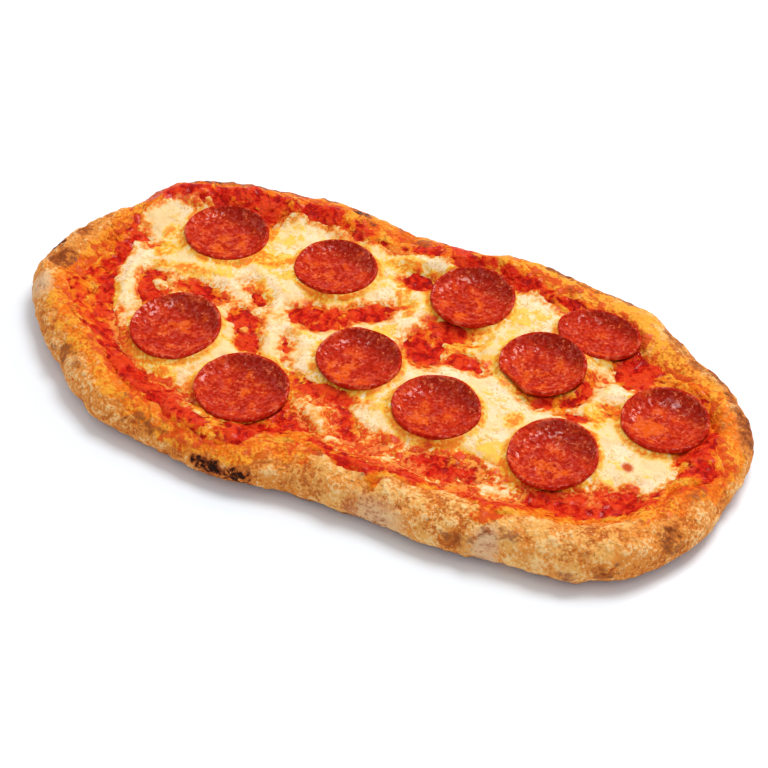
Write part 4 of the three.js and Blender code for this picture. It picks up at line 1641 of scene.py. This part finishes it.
@dataclass(frozen=True)
class PepperoniFinish:
    """Baked pepperoni: brick red meat, orange fat and pools of oil; painted shade, light and rim
    highlights.
    """

    meat: Colour = tint(182, 36, 14)
    bright: Veil = Veil(tint(210, 62, 24), 0.44, 0.6, 0.85)
    dark: Veil = Veil(DARK_MEAT, 0.46, 0.38, 0.35)
    # painted shade for the far inner wall of each cup, which faces away from the lamps
    far_wall_shade: Veil = Veil(DARK_MEAT, 0.1, 0.9, 0.56)
    # orange oil colour, also used as painted light on each slice's near side
    oil: Veil = Veil(tint(224, 88, 18), 0.35, 1.2, 0.9)
    fat_grains: Veil = Veil(FAT, 0.61, 0.7, 0.5)
    fat_specks: Veil = Veil(FAT, 0.44, 0.54, 0.6)
    skin: Veil = Veil(tint(186, 30, 10), 0.2, 1.1, 0.8)
    # painted highlight: light flecks along the rim
    rim_highlight_flecks: Veil = Veil(FAT, 0.5, 0.6, 0.45)
    fine_noise: Speckle = Speckle(0.9)
    mottle_noise: Speckle = Speckle(3.4, 4.0, 0.3)
    grain_noise: Speckle = Speckle(1.3, 2.0, 1.0)
    glint_noise: Speckle = Speckle(1.8, 3.0, 0.8)
    speck_spacing: float = 3.2
    speck: Rise = Rise(0.1, 0.24)
    glint: Rise = Rise(0.5, 0.57)
    glint_share: float = 0.6
    relief_depth: float = 1.1

    def dress(self) -> bpy.types.Material:
        """Make the material.

        Returns:
            The material, which reads the masks painted on its mesh.
        """
        recipe = Recipe("pepperoni")
        fine, mottle = recipe.noise(self.fine_noise), recipe.noise(self.mottle_noise)
        colour = recipe.lay(self.meat, self.bright, mottle * 0.6 + fine * 0.4)
        colour = recipe.lay(colour, self.dark, fine * 0.7 + mottle * 0.3)
        # painted shade: darkens the far inner wall of the cup, where the lamps leave shade
        colour = recipe.lay(colour, self.far_wall_shade, recipe.mask("shaded").broken((mottle, 2.0)))
        # real pools of oil, plus painted light on each slice's near side, which faces the lamps
        pooled = recipe.mask("pooled").stirred((mottle, 3.5), (fine, 1.5))
        colour = recipe.lay(colour, self.oil, pooled)
        colour = recipe.lay(colour, self.fat_grains, recipe.noise(self.grain_noise))
        specks = 1 - recipe.cells(self.speck_spacing).along(self.speck)
        colour = recipe.lay(colour, self.fat_specks, mottle, specks)
        edged = recipe.mask("edged")
        colour = recipe.lay(colour, self.skin, edged.broken((mottle, 2.5), (fine, 2.0)))
        # painted highlight: light salmon flecks along the rim stand for its glints
        colour = recipe.lay(colour, self.rim_highlight_flecks, fine * 0.5 + mottle * 0.5, edged)
        glint = fine * 0.6 + recipe.noise(self.glint_noise) * 0.4
        glint = glint.along(self.glint) * self.glint_share
        bump = recipe.relief(fine * 0.9 + mottle * 0.6, self.relief_depth)
        return recipe.finish(Base_Color=colour, Roughness=0.45, Normal=bump, Specular_IOR_Level=0.02,
                             Coat_Weight=glint, Coat_Roughness=0.18)


@dataclass(frozen=True)
class Cut:
    """What sets one slice apart: how far it cups, its oil, and a side that is cut short."""

    cupping: float = 1.0
    pool: float = 0.8
    pool_x: float = 1.0
    pool_y: float = -3.0
    short_heading: float = 0.0
    short_share: float = 2.0


@dataclass
class Slices:
    """The slices of pepperoni, each cupped and laid on its seat."""

    terrain: Terrain
    thickness: float = 2.0
    bowl: float = 0.6
    rim_from: float = 0.62
    around: int = 132
    steps: int = 6
    unevenness: float = 0.022
    wave_circle: float = 8.0
    wave_size: float = 5.0
    fine_wave_size: float = 1.8
    fine_wave: float = 0.5
    curl: float = 0.9
    curl_wave: float = 0.45
    wave_seed: int = 60
    fine_wave_seed: int = 80
    curl_seed: int = 100
    least_facing: float = 0.3
    upper_from: float = 0.45
    seed_step: float = 9.0
    top_lumps: Texture = Texture(0.35, 5, 91, 2)
    top_pits: Texture = Texture(0.18, 1.6, 93, 2)
    pool_reach: float = 8.0
    # how much painted light brightens each slice's near side
    near_side_light: float = 0.2
    near_side: Rise = Rise(0.1, -0.7)
    shaded_heading: float = 78.0
    shaded_side: Rise = Rise(0.05, 0.75)
    shaded_within: Rise = Rise(0.97, 0.9)
    edge: Rise = Rise(0.9, 0.97)
    cuts: tuple[Cut, ...] = (
        Cut(0.8, 0.8, 2, -5), Cut(0.75, 0.5, -1, -1), Cut(1.25, 0.6, 1, -4), Cut(0.8, 0.5, 3, -3),
        Cut(1.2, 0.7, 1, -3, -118, 0.88), Cut(0.75, 0.7, 1, 2), Cut(0.8, 0.9, 1, 2), Cut(1.1, 0.8, -3, -7),
        Cut(1.1, 0.8, -2, -6), Cut(1.0, 0.9, 1, -4), Cut(1.3, 1.0, -4, -4),
    )

    def profile(self) -> Array:
        """The smooth line from the underside's middle round the rim to the top's middle.

        Returns:
            Rows of a share of the radius, a height and a share of the cupping.
        """
        thick, bowl = self.thickness, self.bowl
        corners = np.array([
            [0.0, bowl - thick, 0], [0.35, bowl - thick, 0], [self.rim_from, 0.75 * bowl - 0.7 * thick, 0],
            [0.85, 0.7, 0.35], [0.96, 1.2, 0.7], [0.995, 1.7, 0.9], [1.0, 2.9, 1.0], [0.99, 3.45, 1.0],
            [0.968, 3.75, 1.0], [0.935, 3.5, 0.95], [0.86, 2.6, 0.7], [0.76, 1.7, 0.4],
            [0.6, bowl + 0.35, 0.15], [0.4, bowl + 0.1, 0], [0.2, bowl, 0], [0.0, bowl, 0],
        ])
        padded = np.vstack([2 * corners[0] - corners[1], corners, 2 * corners[-1] - corners[-2]])
        rows = []
        for k in range(1, len(padded) - 2):
            p, q, r, s = padded[k - 1:k + 3]
            for t in np.arange(self.steps) / self.steps:
                rows.append(0.5 * (2 * q + (r - p) * t + (2 * p - 5 * q + 4 * r - s) * t**2
                                   + (3 * q - p - 3 * r + s) * t**3))
        return np.array(rows[1:])

    def build(self, number: int, seat: Seat) -> Piece:
        """Make one slice.

        Args:
            number: which slice, for its own unevenness.
            seat: the plane that it lies on.
        Returns:
            The piece.
        """
        cut = self.cuts[number]
        profile = self.profile()
        turn = np.linspace(0, 2 * np.pi, self.around, endpoint=False)
        wave_x, wave_y = self.wave_circle * np.cos(turn), self.wave_circle * np.sin(turn)
        wave = lumps(wave_x, wave_y, self.wave_size, self.wave_seed + number)
        wave += self.fine_wave * lumps(wave_x, wave_y, self.fine_wave_size, self.fine_wave_seed + number)
        curl = self.curl * (cut.cupping - 1)
        curl = curl + self.curl_wave * lumps(wave_x, wave_y, self.wave_size, self.curl_seed + number)
        facing = np.cos(turn - math.radians(cut.short_heading))
        short = np.minimum(1, cut.short_share / np.maximum(facing, self.least_facing))
        share, height, cupped = profile[:, :1], profile[:, 1:2], profile[:, 2:]
        reach = seat.radius * share * (1 + self.unevenness * wave) * (1 + (short - 1) * share**4)
        u = (reach * np.cos(turn)).ravel()
        v = (reach * seat.oval * np.sin(turn)).ravel()
        upper = np.repeat(np.arange(len(profile)) > self.upper_from * len(profile), self.around)
        local = np.c_[u, v, np.full(len(u), self.seed_step * number)]
        w = (height + cupped * curl).ravel()
        w = w + upper * (self.top_lumps.at(local) + self.top_pits.at(local))
        middle = np.array([[0, 0, self.bowl - self.thickness], [0, 0, self.bowl]])
        points = np.vstack([np.c_[u, v, w], middle])
        axis = Vector((-seat.slope_x, -seat.slope_y, 1)).normalized()
        spin = np.array(Vector((0, 0, 1)).rotation_difference(axis).to_matrix())
        placed = points @ spin.T + np.array([seat.x, seat.y, seat.height])
        piece = Piece(f"slice_{number + 1:02d}", placed, self.faces(len(profile)))
        self.mask(piece, points, np.r_[upper, [False, True]], seat, cut)
        return piece

    def mask(self, piece: Piece, points: Array, above: Array, seat: Seat, cut: Cut) -> None:
        """Paint where a slice holds oil, its near side's painted light, its far wall's painted shade and
        its skin.

        Args:
            piece: the slice.
            points: its points before it is laid down.
            above: which of them are on its upper side.
            seat: the plane that it lies on.
            cut: what sets it apart.
        """
        spread = np.hypot(points[:, 0], points[:, 1] / seat.oval) / seat.radius
        away = np.hypot(points[:, 0] - cut.pool_x, points[:, 1] - cut.pool_y)
        facing = turned(points[:, 0], points[:, 1], self.shaded_heading)[0] / seat.radius
        pooled = cut.pool * np.exp(-((away / self.pool_reach) ** 2))
        # painted light: the near side of the cup, facing the lamps, is brightened with the oil colour
        pooled = pooled + self.near_side_light * self.near_side.of(facing)
        # painted shade on the far inner wall, which faces away from the lamps
        shaded = self.shaded_side.of(facing) * self.shaded_within.of(spread)
        piece.paint(pooled=pooled * above, shaded=shaded * above, edged=self.edge.of(spread))

    def faces(self, rings: int) -> list:
        """Quads between the rings of a slice and the fans that close its two middles.

        Args:
            rings: how many rings there are.
        Returns:
            The faces.
        """
        faces = ring_faces(rings, self.around)
        top, below, above = (rings - 1) * self.around, rings * self.around, rings * self.around + 1
        for i in range(self.around):
            step = (i + 1) % self.around
            faces.append([step, i, below])
            faces.append([top + i, top + step, above])
        return faces


# ---- studio ------------------------------------------------------------------------------------
@dataclass(frozen=True)
class Lamp:
    """A square soft light aimed at the food, from a heading and a distance, its power in watts."""

    name: str
    towards: tuple[float, float, float]
    distance: float
    side: float
    power: float

    def build(self) -> None:
        """Hang the lamp."""
        light = bpy.data.lights.new(self.name, "AREA")
        light.size = self.side
        light.energy = self.power
        towards = Vector(self.towards)
        thing = bpy.data.objects.new(self.name, light)
        thing.location = towards.normalized() * self.distance
        thing.rotation_euler = (-towards).to_track_quat("-Z", "Y").to_euler()
        bpy.context.scene.collection.objects.link(thing)


@dataclass(frozen=True)
class Studio:
    """The pale floor, the soft light and the camera, in metres and degrees."""

    lens: float = 112.5
    sensor: float = 36.0
    camera_distance: float = 1.010
    camera_aim: tuple = (0.0022, 0.0, 0.0)
    heading: float = 28.8
    height_angle: float = 44.3
    floor_half: float = 3.0
    floor_colour: Colour = (0.9, 0.94, 0.98, 1)
    floor_roughness: float = 0.8
    air_colour: Colour = (0.95, 0.98, 1, 1)
    air_strength: float = 0.7
    lamps: tuple[Lamp, ...] = (
        Lamp("skylight", (0.22, 0.74, 2.0), 1.5, 0.6, 12.4),
        Lamp("window", (0.27, 0.72, 0.64), 1.5, 0.3, 4),
    )

    def build(self) -> None:
        """Set up everything that isn't the food."""
        bpy.context.scene.view_settings.view_transform = "Standard"
        self.floor()
        self.lights()
        self.camera()

    def camera(self) -> None:
        """The camera, aimed down at the food."""
        turn, lean = math.radians(self.heading), math.radians(self.height_angle)
        away = Vector((math.sin(turn) * math.cos(lean), -math.cos(turn) * math.cos(lean), math.sin(lean)))
        camera = bpy.data.cameras.new("camera")
        camera.lens = self.lens
        camera.sensor_width = self.sensor
        thing = bpy.data.objects.new("camera", camera)
        thing.location = Vector(self.camera_aim) + away * self.camera_distance
        thing.rotation_euler = (-away).to_track_quat("-Z", "Y").to_euler()
        bpy.context.scene.collection.objects.link(thing)
        bpy.context.scene.camera = thing

    def floor(self) -> None:
        """A wide pale floor."""
        mesh = bpy.data.meshes.new("floor")
        half = self.floor_half
        corners = [(-half, -half, 0), (half, -half, 0), (half, half, 0), (-half, half, 0)]
        mesh.from_pydata(corners, [], [(0, 1, 2, 3)])
        thing = bpy.data.objects.new("floor", mesh)
        bpy.context.scene.collection.objects.link(thing)
        recipe = Recipe("pale_floor")
        mesh.materials.append(recipe.finish(Base_Color=self.floor_colour, Roughness=self.floor_roughness))

    def lights(self) -> None:
        """Even light from all round, and the lamps: one from high up and one from low behind."""
        world = bpy.data.worlds.new("world")
        world.use_nodes = True
        background = world.node_tree.nodes["Background"]
        background.inputs["Color"].default_value = self.air_colour
        background.inputs["Strength"].default_value = self.air_strength
        bpy.context.scene.world = world
        for lamp in self.lamps:
            lamp.build()


# ---- assembly ----------------------------------------------------------------------------------
CRUST_OUTLINE = (
    (158.5, 1), (156, 29), (138, 52.5), (112, 68), (86, 81.3), (57, 84.3), (29, 84.5), (7, 79.5), (-17, 78),
    (-35, 78), (-58, 79.5), (-89, 75.5), (-117, 67.5), (-138, 51), (-147, 29), (-157, 6), (-158, -24),
    (-139.5, -48), (-116, -65), (-92, -79), (-52, -84), (-21, -84), (-1, -78.5), (34, -76.5), (69, -75),
    (96, -71), (121, -65.5), (142, -51), (154.5, -27),
)
SAUCE_OUTLINE = (
    (152, 4), (140, 24), (125, 42), (103, 49), (83, 66), (59, 70), (29, 72), (1, 73), (-31, 66), (-59, 68),
    (-85, 68), (-111, 58.5), (-132, 48.5), (-139, 36), (-135, 16), (-137, -8), (-138, -27), (-119, -44),
    (-93, -60), (-61, -73), (-31, -77), (-15, -64), (13, -66), (41, -66), (65, -56), (85, -59),
    (109, -49), (133, -30), (141, -12),
)
CHEESE_OUTLINE = (
    (137, -6), (130, 12), (111, 32), (95, 35), (83, 48), (61, 60), (37, 64), (17, 60), (-5, 64), (-27, 59),
    (-62, 60), (-75, 60), (-87, 43), (-113, 50), (-123, 43), (-133, 29), (-129, 6), (-120, -22),
    (-99, -46), (-73, -58), (-43, -67), (-27, -60), (-22, -36), (-13, -48), (7, -56), (37, -60),
    (59, -54), (83, -48), (95, -34), (113, -31), (133, -17),
)


def main() -> None:
    """Build the pieces in order and dress them."""
    logging.basicConfig(level=logging.INFO, format="%(message)s")
    Studio().build()
    slice_nodes = sorted(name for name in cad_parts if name.startswith("pepperoni"))
    seats = tuple(Seat.of(node) for node in slice_nodes)
    loaf = Loaf(Outline(CRUST_OUTLINE))
    terrain = Terrain(loaf, seats)
    sauce = Sauce(terrain, Outline(SAUCE_OUTLINE))
    Crust(loaf, terrain, sauce.line).build().settle("dough", Slot.CRUST, CrustFinish().dress())
    cheese = Cheese(sauce, Outline(CHEESE_OUTLINE))
    sauce.build(loaf, cheese).settle("tomato_sauce", Slot.SAUCE, SauceFinish().dress())
    cheese.build(loaf).settle("mozzarella", Slot.CHEESE, CheeseFinish().dress())
    slices = Slices(terrain)
    meat = PepperoniFinish().dress()
    for number, (seat, node) in enumerate(zip(seats, slice_nodes)):
        slices.build(number, seat).settle(node, Slot.PEPPERONI, meat)


if __name__ == "__main__":
    main()
